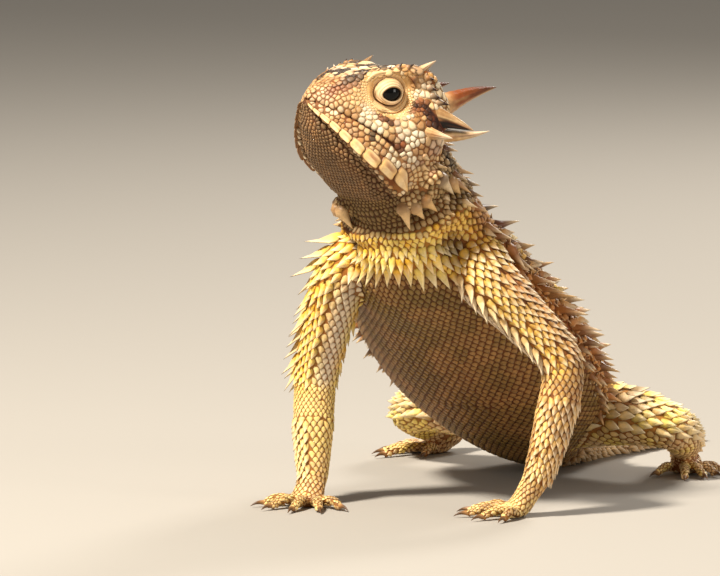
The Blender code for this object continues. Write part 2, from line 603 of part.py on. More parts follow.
class Coat:
    """Pointed scales and spines that are set on the cores where they have room, and then fused into them."""

    def __init__(self, cores):
        self.trees = {}
        for obj in cores:
            points = [v.co.copy() for v in obj.data.vertices]
            self.trees[obj.name] = BVHTree.FromPolygons(points, [f.vertices[:] for f in obj.data.polygons])
        self.groups = {}
        self.beads = {name: [] for name in self.trees}

    def depth(self, name, point):
        """How far a point near the skin of a core lies under it, negative over it."""
        near, normal, _, distance = self.trees[name].find_nearest(Vector(point))
        return -math.copysign(distance, (Vector(point) - near).dot(normal))

    def distance(self, name, point):
        """How far a point lies from the skin of a core."""
        return self.trees[name].find_nearest(Vector(point))[3]

    def has_room(self, name, beads):
        """Whether beads along a spine stay clear of the other cores, their spines and the floor."""
        for point, radius in beads:
            if point[2] < radius + FLOOR_ROOM:
                return False
            for other, tree in self.trees.items():
                if other != name and tree.find_nearest(Vector(point), radius + GAP)[0] is not None:
                    return False
        places, radii = (np.array(values) for values in zip(*beads))
        for other, theirs in self.beads.items():
            if other == name or not theirs:
                continue
            centres, sizes = (np.array(values) for values in zip(*theirs))
            apart = np.linalg.norm(centres[:, None] - places, axis=2)
            if (apart < sizes[:, None] + radii + GAP).any():
                return False
        return True

    def add(self, name, root, way, across, length, width, thickness):
        """Sets one spine on a core, if its root lies on the skin there and it has room."""
        if self.distance(name, root) > SKIN_ERROR:
            return False
        base = root - way * SPINE_SUNK * MM
        if self.depth(name, base) < 0.2 * MM:
            return False
        tip = root + way * length
        shares = np.linspace(0.1, 1.0, 7)
        beads = [(root + (tip - root) * share, width / 2 * (1 - share)) for share in shares]
        if not self.has_room(name, beads):
            return False
        self.beads[name] += beads
        if name not in self.groups:
            self.groups[name] = new_collection(name + "_spines")
        over = unit(np.cross(across, way)) * thickness / 2
        grow = 1 + SPINE_SUNK * MM / length * 0.5
        cone("spine", base, tip, across * width / 2 * grow, over * grow, self.groups[name])
        return True

    def add_leaning(self, name, root, normal, along, length, width, thickness, lean):
        """Sets one spine that rises from the skin and leans along it."""
        way = unit(normal * (1 - lean) + along * lean)
        across = unit(np.cross(normal, along))
        return self.add(name, root, way, across, length, width, thickness)

    def add_row(self, tube, node_at, row, flip):
        """Sets one row of spines along a tube, whose side is given by the way its angles are turned."""
        for k, s in enumerate(np.linspace(row.first, row.last, row.count)):
            share = k / max(row.count - 1, 1)
            length = (row.length + (row.end_length - row.length) * share) * MM
            root, normal, along = tube.surface(s * MM, flip(math.radians(row.angle)))
            width = min(row.width * MM, length * 0.7)
            self.add_leaning(node_at(s), root, normal, along, length, width, max(width * 0.7, 0.5 * MM), row.lean)

    def fuse(self):
        """Fuses the spines of each core into it by one union."""
        for name, group in self.groups.items():
            boolean(bpy.data.objects[name], "UNION", group)


def node_of_body(s):
    """The node that holds a place along the body's axis."""
    return next(name for name, _, end, _, _ in NODES_OF_AXIS if end is None or s < end)


def add_body_rows(coat):
    """Rows of spines along back, flanks, neck and tail, on both sides."""
    for row in BODY_ROWS:
        coat.add_row(BODY, node_of_body, row, lambda angle: angle)
        coat.add_row(BODY, node_of_body, row, lambda angle: math.pi - angle)


def add_limb_rows(coat, tubes):
    """Rows of pointed scales down the outside of each limb."""
    for key, tube in tubes.items():
        names, side = LIMBS[key][2:]
        bend = tube.keys[BEND, 0] / MM
        for row in ARM_ROWS if key.startswith("arm") else LEG_ROWS:
            coat.add_row(tube, lambda s: names[0] if s < bend else names[1], row, lambda angle: -side * angle)


def add_collar(coat):
    """Rows of pointed plates that hang over the front of the chest."""
    for row, (s, count, spread, length) in enumerate(COLLAR_ROWS):
        for k in range(count):
            angle = math.radians(270 + spread * (2 * (k + 0.5) / count - 1))
            root, normal, along = BODY.surface(s * MM, angle)
            coat.add_leaning(node_of_body(s), root, normal, along, length * MM, 1.7 * MM, 0.9 * MM, 0.72)


def add_head_scales(coat):
    """Plates along the edges of the lower jaw, and small pointed scales on brows and cheeks."""
    for side in (1, -1):
        y = np.linspace(2.2, 12.2, RIM_PLATES)
        for k, point in enumerate(HEAD.line("rim", y)):
            root = HEAD.place(point, side)
            way = unit(HEAD.left * side * 0.75 - HEAD.up * 0.55 + HEAD.back * 0.35)
            coat.add("jaw", root, way, HEAD.back, (0.8 + 0.05 * k) * MM, 1.5 * MM, 0.9 * MM)
        root, tip = (HEAD.place(point, side) for point in CORNER_PLATE)
        coat.add("jaw", root, unit(tip - root), HEAD.up, np.linalg.norm(tip - root), 2.0 * MM, 1.1 * MM)
        for y in (7.4, 8.9):
            root = HEAD.place(HEAD.line("brow", [y])[0], side)
            way = unit(HEAD.up + HEAD.back * 0.5 + HEAD.left * side * 0.3)
            coat.add("head", root, way, HEAD.left, 0.9 * MM, 0.9 * MM, 0.7 * MM)
        for y, name in ((16.6, "brow"), (15.0, "orbit"), (13.2, "cheek")):
            root = HEAD.place(HEAD.line(name, [y])[0], side)
            way = unit(HEAD.left * side + HEAD.back * 0.8 + HEAD.up * 0.2)
            coat.add("head", root, way, HEAD.up, 1.1 * MM, 1.0 * MM, 0.7 * MM)


def finish_of(name):
    """The finish of a node, by the part of the animal that its name tells."""
    word = next((word for word in FINISH_OF if word in name), None)
    return FINISH_OF.get(word, "skin_limb")


def give_materials(group):
    """One material for each kind of piece, smooth shading and the shared parent at the footprint's middle."""
    origin = bpy.data.objects.new(NAME + "_origin", None)
    origin.location = Vector(-FOOTPRINT_MIDDLE * MM)
    made = {}
    for key, (colour, roughness, metallic) in FINISHES.items():
        made[key] = bpy.data.materials.new(key)
        made[key].use_nodes = True
        shader = made[key].node_tree.nodes["Principled BSDF"]
        shader.inputs["Base Color"].default_value = (*colour, 1.0)
        shader.inputs["Roughness"].default_value = roughness
        shader.inputs["Metallic"].default_value = metallic
    for obj in list(group.objects):
        obj.data.materials.clear()
        obj.data.materials.append(made[finish_of(obj.name)])
        obj.data.shade_smooth()
        obj.data.set_sharp_from_angle(angle=math.radians(40))
        obj.parent = origin
    group.objects.link(origin)


def main():
    for obj in list(bpy.data.objects):
        bpy.data.objects.remove(obj)
    group = new_collection(NAME)
    build_head(group)
    build_horns(group)
    build_axis(group)
    tubes = {key: build_limb(key, group) for key in LIMBS}
    for name, values in FEET.items():
        build_foot(name, tubes[values[0]], group)
    coat = Coat(group.objects)
    add_head_scales(coat)
    add_collar(coat)
    add_body_rows(coat)
    add_limb_rows(coat, tubes)
    coat.fuse()
    give_materials(group)


main()
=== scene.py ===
"""Looks of a life-size horned lizard that pushes its chest up on straight forelegs and looks up to its right.

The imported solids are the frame. One skin is worked out from the sizes they were built with, and every scale,
plate and spine is set on that skin by its place along and round the animal. Lengths in the tables are
millimetres in body coordinates, with the face towards -Y, the left side towards +X and the floor at Z = 0.
MM turns them into metres.
"""

import logging
import math
from dataclasses import astuple, dataclass, field, fields
from enum import Enum

import bpy
import numpy as np
from mathutils import Matrix, Vector
from mathutils.bvhtree import BVHTree
from mathutils.kdtree import KDTree


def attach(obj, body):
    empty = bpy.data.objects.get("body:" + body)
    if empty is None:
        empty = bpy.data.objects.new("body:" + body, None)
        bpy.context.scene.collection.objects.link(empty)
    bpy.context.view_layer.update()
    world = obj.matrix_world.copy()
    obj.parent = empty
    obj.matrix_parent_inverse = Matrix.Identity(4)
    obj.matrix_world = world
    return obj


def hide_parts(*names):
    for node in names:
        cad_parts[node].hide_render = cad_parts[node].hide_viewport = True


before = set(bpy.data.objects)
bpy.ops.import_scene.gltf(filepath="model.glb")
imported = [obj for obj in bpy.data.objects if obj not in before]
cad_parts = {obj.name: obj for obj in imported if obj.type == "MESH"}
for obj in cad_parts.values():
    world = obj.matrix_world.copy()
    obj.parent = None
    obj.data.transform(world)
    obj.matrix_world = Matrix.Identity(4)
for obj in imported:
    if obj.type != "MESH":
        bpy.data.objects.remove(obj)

log = logging.getLogger("horned_lizard")
Array = np.ndarray
MM = 0.001
STEP = 0.05 * MM  # short step that slopes are measured over
UP = np.array((0.0, 0.0, 1.0))
LEFT = np.array((1.0, 0.0, 0.0))
MIDDLE = np.array((-0.18, 34.52, 0.0)) * MM  # middle of the footprint, which is the frame's origin
FLOOR_ROOM = 0.03 * MM  # height that every piece keeps over the floor

# Axis of the body from head to tail tip: x, y, z, half width, height over and depth under the axis.
AXIS = (
    (-3.3, -7.3, 55.4, 7.6, 6.6, 7.0),
    (-1.9, -4.3, 51.6, 9.0, 7.2, 8.0),
    (-0.7, -1.6, 47.2, 9.2, 7.4, 8.8),
    (0.0, 0.8, 42.8, 10.2, 7.6, 9.6),
    (0.0, 4.5, 37.8, 12.8, 8.0, 10.6),
    (0.0, 11.0, 32.0, 15.4, 8.4, 9.8),
    (0.0, 22.0, 23.4, 17.8, 8.8, 9.6),
    (0.0, 33.5, 15.2, 16.6, 8.0, 9.4),
    (0.0, 43.0, 9.6, 12.0, 6.6, 8.4),
    (0.2, 49.5, 7.0, 8.0, 5.2, 7.3),
    (1.2, 57.5, 4.6, 5.3, 3.8, 5.1),
    (3.6, 68.0, 3.0, 3.4, 2.5, 3.4),
    (7.6, 80.0, 1.7, 1.7, 1.4, 2.0),
    (10.6, 87.5, 1.0, 0.7, 0.7, 1.2),
)
NECK_TURN = 16.0  # length over which the axis turns from the head's left to the body's left
HEAD_YAW = math.radians(27.0)
HEAD_PITCH = math.radians(34.0)
SNOUT = np.array((-8.8, -17.9, 60.6))  # front of the mouth line
HEAD_START = 0.4
HEAD_LENGTH = 20.8

# Lines that run back over the left half of the head, as x to the left and z over the mouth line at each of
# the places behind the snout.
HEAD_PLACES = (0.4, 1.2, 2.6, 6, 9.5, 12.5, 16, 19, 20.8)
HEAD_LINES = {
    "crown": ((0, 0, 0, 0, 0, 0, 0, 0, 0),
              (1.9, 3.4, 5.4, 8.7, 11.2, 12.2, 12.2, 11.3, 9.2)),
    "brow": ((0.8, 1.8, 3.1, 5.1, 6.7, 7.1, 6.6, 5.8, 4.2),
             (1.7, 3.0, 5.1, 8.8, 11.8, 12.8, 12.0, 10.6, 8.8)),
    "orbit": ((1.0, 2.0, 3.7, 5.5, 6.6, 7.6, 8.6, 8.0, 6.0),
              (1.2, 2.1, 3.6, 6.2, 8.2, 9.4, 9.2, 7.8, 6.4)),
    "cheek": ((1.1, 2.2, 4.1, 6.4, 7.9, 9.2, 10.1, 9.2, 6.8),
              (0.6, 1.0, 1.6, 2.7, 3.5, 4.2, 4.8, 4.4, 3.4)),
    "lip": ((1.1, 2.2, 3.9, 6.6, 8.3, 9.2, 9.6, 8.6, 6.4),
            (0.0, 0.1, 0.1, 0.1, 0.0, -0.3, -0.6, -0.4, 0.0)),
    "rim": ((0.9, 1.7, 3.2, 6.2, 8.1, 8.8, 8.4, 7.2, 5.2),
            (-0.5, -0.9, -1.4, -2.7, -3.8, -4.2, -4.6, -4.6, -3.8)),
    "gular": ((0.4, 0.9, 1.9, 3.6, 4.8, 5.2, 5.2, 4.6, 3.4),
              (-0.7, -1.3, -2.5, -4.3, -5.5, -6.1, -6.7, -6.3, -5.0)),
    "chin": ((0, 0, 0, 0, 0, 0, 0, 0, 0),
             (-0.8, -1.5, -2.8, -4.7, -5.9, -6.5, -7.1, -6.6, -5.2)),
}
MOUTH_LINE = ((-3.0, 0.1), (0.0, 0.1), (6.0, 0.1), (9.5, 0.0), (12.0, -0.5), (14.0, -1.5), (15.0, -2.6))
MOUTH_CORNER = 14.4
EYE_CENTRE = (5.1, 8.8, 6.85)
EYE_RADIUS = 2.15
LID_OPENING = (1.24, 0.96)  # half length and half height of the slit that shows the eye
LID_TILT = math.radians(40.0)  # rise of the slit towards the back
EYE_LOOK = (0.96, -0.12, -0.25)  # direction that the eye looks in
NOSTRIL = (2.4, 2.0, 4.3)

# Horns of the head's left side: root, tip, half width, share of it that the horn is thick, and bow.
HORNS = {
    "occipital_horn": ((5.0, 19.0, 10.4), (5.4, 25.5, 17.8), 2.0, 0.9, 0.5),
    "temporal_horn_upper": ((8.7, 18.2, 5.8), (11.2, 23.8, 9.8), 1.25, 0.8, -0.5),
    "temporal_horn_middle": ((8.6, 15.9, 6.8), (11.8, 20.8, 8.0), 1.65, 0.5, 0.35),
    "temporal_horn_lower": ((9.3, 15.0, 4.2), (12.1, 17.9, 5.0), 1.2, 0.7, -0.1),
    "brow_horn": ((6.6, 11.1, 11.2), (7.4, 12.4, 14.4), 1.15, 0.85, 0.15),
}

# Limbs as x, y, z, half width, height over and depth under the bone.
RIGHT_ARM = (
    (-7.6, 3.6, 37.4, 4.8, 4.8, 4.8),
    (-11.2, 0.8, 33.4, 4.3, 4.3, 4.3),
    (-13.6, 0.2, 26.0, 3.5, 3.6, 3.6),
    (-15.6, 0.6, 18.4, 3.1, 3.3, 3.2),
    (-15.3, -1.0, 10.8, 3.0, 3.0, 3.0),
    (-14.4, -2.9, 3.8, 2.2, 2.2, 2.2),
)
LEFT_ARM = (
    (7.6, 3.6, 37.4, 4.8, 4.8, 4.8),
    (11.4, 1.0, 33.6, 4.3, 4.3, 4.3),
    (16.8, 2.3, 28.0, 3.6, 3.7, 3.7),
    (22.0, 3.8, 21.4, 3.1, 3.2, 3.2),
    (21.5, 2.0, 13.2, 2.9, 2.9, 2.9),
    (20.0, -0.3, 5.2, 2.2, 2.2, 2.2),
)
LEFT_LEG = (
    (5.0, 44.0, 8.6, 5.2, 5.0, 5.0),
    (11.0, 43.2, 9.2, 4.9, 4.7, 4.7),
    (17.5, 42.3, 9.2, 4.3, 4.2, 4.2),
    (23.2, 43.4, 7.8, 3.4, 3.4, 3.4),
    (22.6, 49.6, 5.4, 3.1, 3.0, 3.0),
    (19.6, 56.2, 3.1, 2.1, 2.0, 2.0),
)
RIGHT_LEG = (
    (-5.0, 44.4, 8.6, 5.2, 5.0, 5.0),
    (-10.5, 45.0, 9.2, 4.9, 4.7, 4.7),
    (-16.4, 45.6, 9.0, 4.3, 4.2, 4.2),
    (-21.6, 47.6, 7.6, 3.4, 3.4, 3.4),
    (-21.8, 54.0, 5.2, 3.1, 3.0, 3.0),
    (-19.6, 60.6, 3.1, 2.1, 2.0, 2.0),
)

# Each limb: its stations, the hint for its tube's left, and the side that it is on.
LIMBS = {
    "arm_right": (RIGHT_ARM, (0, 1, 0.3), -1),
    "arm_left": (LEFT_ARM, (0, 1, 0.3), 1),
    "leg_right": (RIGHT_LEG, (0, 0, 1), -1),
    "leg_left": (LEFT_LEG, (0, 0, 1), 1),
}

# Digits of a foot: angle from the middle one and length. Feet: limb, heading, length, half width, digits.
HAND_DIGITS = ((-52, 3.6), (-24, 5.0), (2, 5.8), (27, 5.2), (56, 3.8))
FOOT_DIGITS = ((-40, 3.4), (-20, 5.0), (-4, 6.8), (12, 8.4), (44, 4.6))
FEET = {
    "hand_right": ("arm_right", (0.08, -0.997), 4.2, 2.6, HAND_DIGITS),
    "hand_left": ("arm_left", (-0.80, -0.60), 4.9, 2.7, HAND_DIGITS),
    "foot_right": ("leg_right", (-0.62, -0.78), 6.4, 2.6, FOOT_DIGITS),
    "foot_left": ("leg_left", (0.56, -0.83), 6.4, 2.6, FOOT_DIGITS),
}
SOLE_HEIGHT = 0.8

FLESH_NODES = (
    "head", "jaw", "neck", "chest", "abdomen", "pelvis", "tail_base", "tail_tip",
    "upper_arm_left", "forearm_left", "hand_left", "upper_arm_right", "forearm_right", "hand_right",
    "thigh_left", "shin_left", "foot_left", "thigh_right", "shin_right", "foot_right",
)
SKIN_DEPTH = 0.2  # how far the skin lies inside the solids' cores, which the scales fill
PATCH = 0.003  # width of a scale's patch on the unwrapped skin
SEED = 20


class Slot(Enum):
    """Material slots of the record."""

    HEAD = "skin_head"
    BODY = "skin_body"
    LIMB = "skin_limb"
    HORN = "horn"
    EYE = "eye"


def unit(vectors: Array) -> Array:
    """Vectors scaled to length one."""
    vectors = np.asarray(vectors, float)
    return vectors / np.maximum(np.linalg.norm(vectors, axis=-1, keepdims=True), 1e-12)


def dot(a: Array, b: Array) -> Array:
    """Dot products along the last axis."""
    return (a * b).sum(-1)


def ramp(low: float, high: float, value: Array) -> Array:
    """A smooth step from 0 at low to 1 at high."""
    share = np.clip((np.asarray(value, float) - low) / (high - low), 0, 1)
    return share * share * (3 - 2 * share)


def bump(value: Array, centre: float, width: float) -> Array:
    """A bell curve that is 1 at the centre."""
    return np.exp(-(((np.asarray(value, float) - centre) / width) ** 2))


def mix(a: Array, b: Array, share: Array) -> Array:
    """Colours between a and b by a share for each."""
    return a + (np.asarray(b, float) - a) * np.clip(np.asarray(share, float), 0, 1)[..., None]


def paint(red: int, green: int, blue: int) -> Array:
    """A paint of a colour chart, 0 to 255 a channel, as linear light."""
    value = np.array((red, green, blue), float) / 255
    return np.where(value <= 0.04045, value / 12.92, ((value + 0.055) / 1.055) ** 2.4)


def cubic(keys: Array, t: Array) -> Array:
    """Smooth curve through keys: each span is a cubic whose slopes are the central differences of the keys.

    Args:
        keys: rows of a place and the values there.
        t: places to read.

    Returns:
        One row of values for each place.
    """
    keys = np.asarray(keys, float)
    t = np.atleast_1d(np.asarray(t, float))
    knots, values = keys[:, 0], keys[:, 1:]
    slope = np.gradient(values, knots, axis=0)
    i = np.clip(np.searchsorted(knots, t) - 1, 0, len(knots) - 2)
    span = (knots[i + 1] - knots[i])[:, None]
    s = (t - knots[i])[:, None] / span
    near = (2 * s**3 - 3 * s**2 + 1) * values[i] + (s**3 - 2 * s**2 + s) * span * slope[i]
    far = (3 * s**2 - 2 * s**3) * values[i + 1] + (s**3 - s**2) * span * slope[i + 1]
    return near + far


def noise(points: Array, size: float, seed: int = 0) -> Array:
    """Smooth noise from 0 to 1: hashed values at the corners of a grid, blended by smooth steps.

    Args:
        points: places in metres, one row each.
        size: length of the grid's cells in millimetres.
        seed: number that picks another pattern.

    Returns:
        One value for each place.
    """
    q = np.asarray(points, float) / (size * MM) + 1000.0
    cell = np.floor(q).astype(np.int64)
    f = q - cell
    f = f * f * (3 - 2 * f)
    total = np.zeros(len(q))
    for corner in range(8):
        offset = np.array((corner & 1, corner >> 1 & 1, corner >> 2 & 1))
        c = cell + offset
        key = (c[:, 0] * 73856093) ^ (c[:, 1] * 19349663) ^ (c[:, 2] * 83492791) ^ (seed * 2654435761)
        key = (key ^ (key >> 13)) * 1274126177 & 0x7FFFFFFF
        value = (key ^ (key >> 16)) % 65536 / 65535.0
        weight = np.where(offset, f, 1 - f).prod(1)
        total += value * weight
    return total


def tree_of(points: Array) -> KDTree:
    """A search tree over points.

    Args:
        points: places, one row each.

    Returns:
        The balanced tree, whose numbers are those of the rows.
    """
    tree = KDTree(len(points))
    for number, place in enumerate(points):
        tree.insert(place, number)
    tree.balance()
    return tree


def layers(points: Array, size: float, seed: int = 0) -> Array:
    """Two layers of noise, the second at half the size and strength."""
    return (noise(points, size, seed) * 2 + noise(points, size / 2, seed + 1)) / 3


def around(count: int) -> Array:
    """Equal steps of angle round a full turn."""
    return np.arange(count) * 2 * math.pi / count


def off_belly(angle: Array) -> Array:
    """Degrees from the belly's middle, alike on both sides, of angles in degrees."""
    return np.abs((angle - 270 + 180) % 360 - 180)


def layered(colour: Array, *coats: tuple[Array, Array]) -> Array:
    """Colours under coats of paint.

    Args:
        colour: colours underneath.
        coats: paint and share of each coat, in the order that they are laid on.

    Returns:
        The mixed colours.
    """
    for tone, share in coats:
        colour = mix(colour, tone, share)
    return colour


def fill(target: bpy.types.bpy_prop_collection, name: str, values: Array, kind: type = np.float32) -> None:
    """Writes whole arrays of values into mesh elements."""
    target.foreach_set(name, np.asarray(values).astype(kind).ravel())


def read(source: bpy.types.bpy_prop_collection, name: str, width: int, kind: type = np.float32) -> Array:
    """Whole arrays of values of mesh elements.

    Args:
        source: the elements.
        name: their value's name.
        width: numbers in one value.
        kind: type of the numbers.

    Returns:
        One row for each element.
    """
    values = np.empty(len(source) * width, kind)
    source.foreach_get(name, values)
    return values.reshape(-1, width)


def mark(mesh: bpy.types.Mesh, colour: Array) -> None:
    """Gives a mesh the colours that its material reads."""
    layer = mesh.attributes.new("Markings", "FLOAT_COLOR", "POINT")
    fill(layer.data, "color", np.column_stack([colour, np.ones(len(colour))]))


def patches(points: Array, root: Array, along: Array, across: Array, size: Array, middle: Array) -> Array:
    """Patch of each scale or spine: its points seen from outside, scaled down and set at its root's place.

    Args:
        points: body points of each copy.
        root: its root.
        along: direction of the patch's first axis.
        across: direction of the second one.
        size: length that makes a whole patch.
        middle: root's place on the unwrapped skin.

    Returns:
        One place on the unwrapped skin for each point.
    """
    local = points - root[:, None]
    flat = np.stack([dot(local, along[:, None]), dot(local, across[:, None])], -1)
    return flat / size[:, None, None] * PATCH + middle[:, None]


@dataclass
class Shape:
    """A mesh in arrays: its points, its faces, and what each point carries."""

    points: Array
    faces: Array
    colour: Array | None = None
    uv: Array | None = None

    @staticmethod
    def grid(points: Array, poles: tuple[Array, Array] | None = None) -> "Shape":
        """A closed tube over rings of points, with a pole at each end.

        Args:
            points: array of rings, points round each, and coordinates.
            poles: the two end points, or none for the middles of the end rings.

        Returns:
            The shape, with quads along the tube and slim quads that fold to triangles at its poles.
        """
        rings, sides = points.shape[:2]
        ends = (points[0].mean(0), points[-1].mean(0)) if poles is None else poles
        flat = np.concatenate([points.reshape(-1, 3), ends])
        k = np.arange(sides)
        n = (k + 1) % sides
        r = np.arange(rings - 1)[:, None] * sides
        side = np.stack([r + k, r + n, r + sides + n, r + sides + k], axis=-1).reshape(-1, 4)
        last = (rings - 1) * sides
        first_pole = np.stack([np.full(sides, rings * sides), n, k, np.full(sides, -1)], axis=-1)
        last_pole = np.stack([first_pole[:, 0] + 1, last + k, last + n, np.full(sides, -1)], axis=-1)
        return Shape(flat, np.concatenate([side, first_pole, last_pole]))

    @staticmethod
    def copies(points: Array, rings: int, sides: int, colour: Array, uv: Array) -> "Shape":
        """Many small closed grids of one make as one shape, kept over the floor.

        Args:
            points: rings of each copy and then its two poles.
            rings: rings of a copy.
            sides: points of a ring.
            colour: colour of each point.
            uv: place of each point on the unwrapped skin.

        Returns:
            The shape with its faces outward.
        """
        one = Shape.grid(np.zeros((rings, sides, 3))).faces
        start = (np.arange(len(points)) * points.shape[1])[:, None, None]
        faces = np.where(one[None] < 0, -1, one[None] + start).reshape(-1, 4)
        points[..., 2] = np.maximum(points[..., 2], FLOOR_ROOM)
        return Shape(points.reshape(-1, 3), faces, colour.reshape(-1, 3), uv.reshape(-1, 2)).turned_out()

    @staticmethod
    def ended(values: Array) -> Array:
        """Values of a grid's points with those of its poles, which take the first of the end rings."""
        return np.concatenate([values.reshape(-1, values.shape[-1]), values[0, :1], values[-1, :1]])

    @staticmethod
    def join(shapes: list["Shape"]) -> "Shape":
        """One shape out of several.

        Args:
            shapes: shapes that all have colours, or none, and all have patches, or none.

        Returns:
            The joined shape.
        """
        starts = np.cumsum([0] + [len(s.points) for s in shapes[:-1]])
        faces = [np.where(s.faces < 0, -1, s.faces + start) for s, start in zip(shapes, starts)]
        colour = None if shapes[0].colour is None else np.concatenate([s.colour for s in shapes])
        uv = None if shapes[0].uv is None else np.concatenate([s.uv for s in shapes])
        return Shape(np.concatenate([s.points for s in shapes]), np.concatenate(faces), colour, uv)

    def turned_out(self) -> "Shape":
        """The same shape with its faces turned over if they enclose a negative volume.

        Returns:
            The shape itself.
        """
        quads = self.faces[:, 3] >= 0
        a, b, c = (self.points[self.faces[:, k]] for k in range(3))
        d = self.points[np.maximum(self.faces[:, 3], 0)]
        volume = dot(a, np.cross(b, c)).sum() + (dot(a, np.cross(c, d)) * quads).sum()
        if volume < 0:
            self.faces = np.where(quads[:, None], self.faces[:, ::-1], self.faces[:, [0, 2, 1, 3]])
        return self

    def to_object(self, name: str, shift: bool = True) -> bpy.types.Object:
        """The shape as a smooth mesh object in the scene.

        Args:
            name: name of the object.
            shift: whether to move it from body coordinates into the frame's.

        Returns:
            The new object.
        """
        sizes = np.where(self.faces[:, 3] >= 0, 4, 3)
        loops = self.faces[self.faces >= 0]
        mesh = bpy.data.meshes.new(name)
        mesh.vertices.add(len(self.points))
        fill(mesh.vertices, "co", self.points - MIDDLE if shift else self.points)
        mesh.loops.add(len(loops))
        fill(mesh.loops, "vertex_index", loops, np.int32)
        mesh.polygons.add(len(sizes))
        fill(mesh.polygons, "loop_start", np.append(0, np.cumsum(sizes)[:-1]), np.int32)
        mesh.update(calc_edges=True)
        mesh.shade_smooth()
        if self.colour is not None:
            mark(mesh, self.colour)
        if self.uv is not None:
            fill(mesh.uv_layers.new(name="OFBake").data, "uv", self.uv[loops])
        obj = bpy.data.objects.new(name, mesh)
        bpy.context.scene.collection.objects.link(obj)
        return obj


@dataclass
class Tube:
    """A soft tube through stations, whose left side turns towards a hint that may change over its start.

    Attributes:
        stations: rows of a centre, half width, height over and depth under it, in millimetres.
        hint: direction that the tube's left is nearest to.
        start_hint: the same at its start, or none if it doesn't change.
        turn: length over which the hint changes, in metres.
        edge: power that sharpens the section over and under.
        folds: place along it, degrees off the belly, both bell widths and height of each fold.
    """

    stations: Array
    hint: Array
    start_hint: Array | None = None
    turn: float = 1.0
    edge: float = 1.0
    folds: tuple[tuple[float, ...], ...] = ()

    def __post_init__(self) -> None:
        """Measures the way along the stations."""
        rows = np.array(self.stations, float) * MM
        steps = np.linalg.norm(np.diff(rows[:, :3], axis=0), axis=1)
        self.keys = np.column_stack([np.append(0.0, np.cumsum(steps)), rows])
        self.length = self.keys[-1, 0]
        self.hint = np.asarray(self.hint, float)
        self.start_hint = self.hint if self.start_hint is None else np.asarray(self.start_hint, float)

    def frame(self, s: Array) -> tuple[Array, Array, Array, Array, Array]:
        """The tube's own axes: its tangent by a short difference, and its left as near to the hint as can be.

        Args:
            s: places along the tube in metres.

        Returns:
            Centres, left, up and tangent there, and the half sizes.
        """
        s = np.atleast_1d(np.asarray(s, float))
        rows = cubic(self.keys, s)
        tangent = unit(cubic(self.keys, s + STEP)[:, :3] - cubic(self.keys, s - STEP)[:, :3])
        share = np.clip(s / self.turn, 0, 1)[:, None]
        hint = self.start_hint + (self.hint - self.start_hint) * share
        left = unit(hint - dot(hint, tangent)[:, None] * tangent)
        return rows[:, :3], left, np.cross(left, tangent), tangent, rows[:, 3:]

    def relief(self, s: Array, angle: Array) -> Array:
        """Height of the folds over the plain tube: a sum of bells along and round it, alike on both sides.

        Args:
            s: places along the tube in metres.
            angle: angles round it.

        Returns:
            A height in metres for each pair.
        """
        turn = np.degrees(np.abs((angle - math.radians(270) + math.pi) % (2 * math.pi) - math.pi))
        height = np.zeros(np.broadcast(s, turn).shape)
        for place, off, along, round_it, rise in self.folds:
            height = height + rise * MM * bump(s / MM, place, along) * bump(turn, off, round_it)
        return height

    def points(self, s: Array, angle: Array) -> Array:
        """Points at s along and at angle round: half sizes on the left and up axes, grown by the folds.

        Args:
            s: places along the tube in metres.
            angle: angles round it from its left side over the top.

        Returns:
            One point for each pair.
        """
        centre, left, up, _, size = self.frame(s)
        cos, sin = np.cos(angle)[..., None], np.sin(angle)[..., None]
        grow = self.relief(s, angle)[..., None] - SKIN_DEPTH * MM
        height = np.where(sin > 0, size[:, 1:2], size[:, 2:3]) + grow
        width = size[:, 0:1] + grow
        return centre + left * width * cos + up * height * np.sign(sin) * np.abs(sin) ** self.edge

    def direction(self, s: Array, angle: Array) -> Array:
        """The way along the tube's surface towards its end."""
        return unit(self.points(s + STEP, angle) - self.points(s - STEP, angle))

    def outward(self, s: Array, points: Array) -> Array:
        """Roughly outward directions of points on the tube."""
        return unit(points - self.frame(s)[0])

    def solid(self, step: float, sides: int) -> Shape:
        """The whole tube as a closed grid.

        Args:
            step: millimetres between its rings.
            sides: points of a ring.

        Returns:
            The shape.
        """
        count = max(4, round(self.length / (step * MM)))
        s = np.repeat(np.linspace(0, self.length, count), sides)
        angle = np.tile(around(sides), count)
        return Shape.grid(self.points(s, angle).reshape(count, sides, 3)).turned_out()


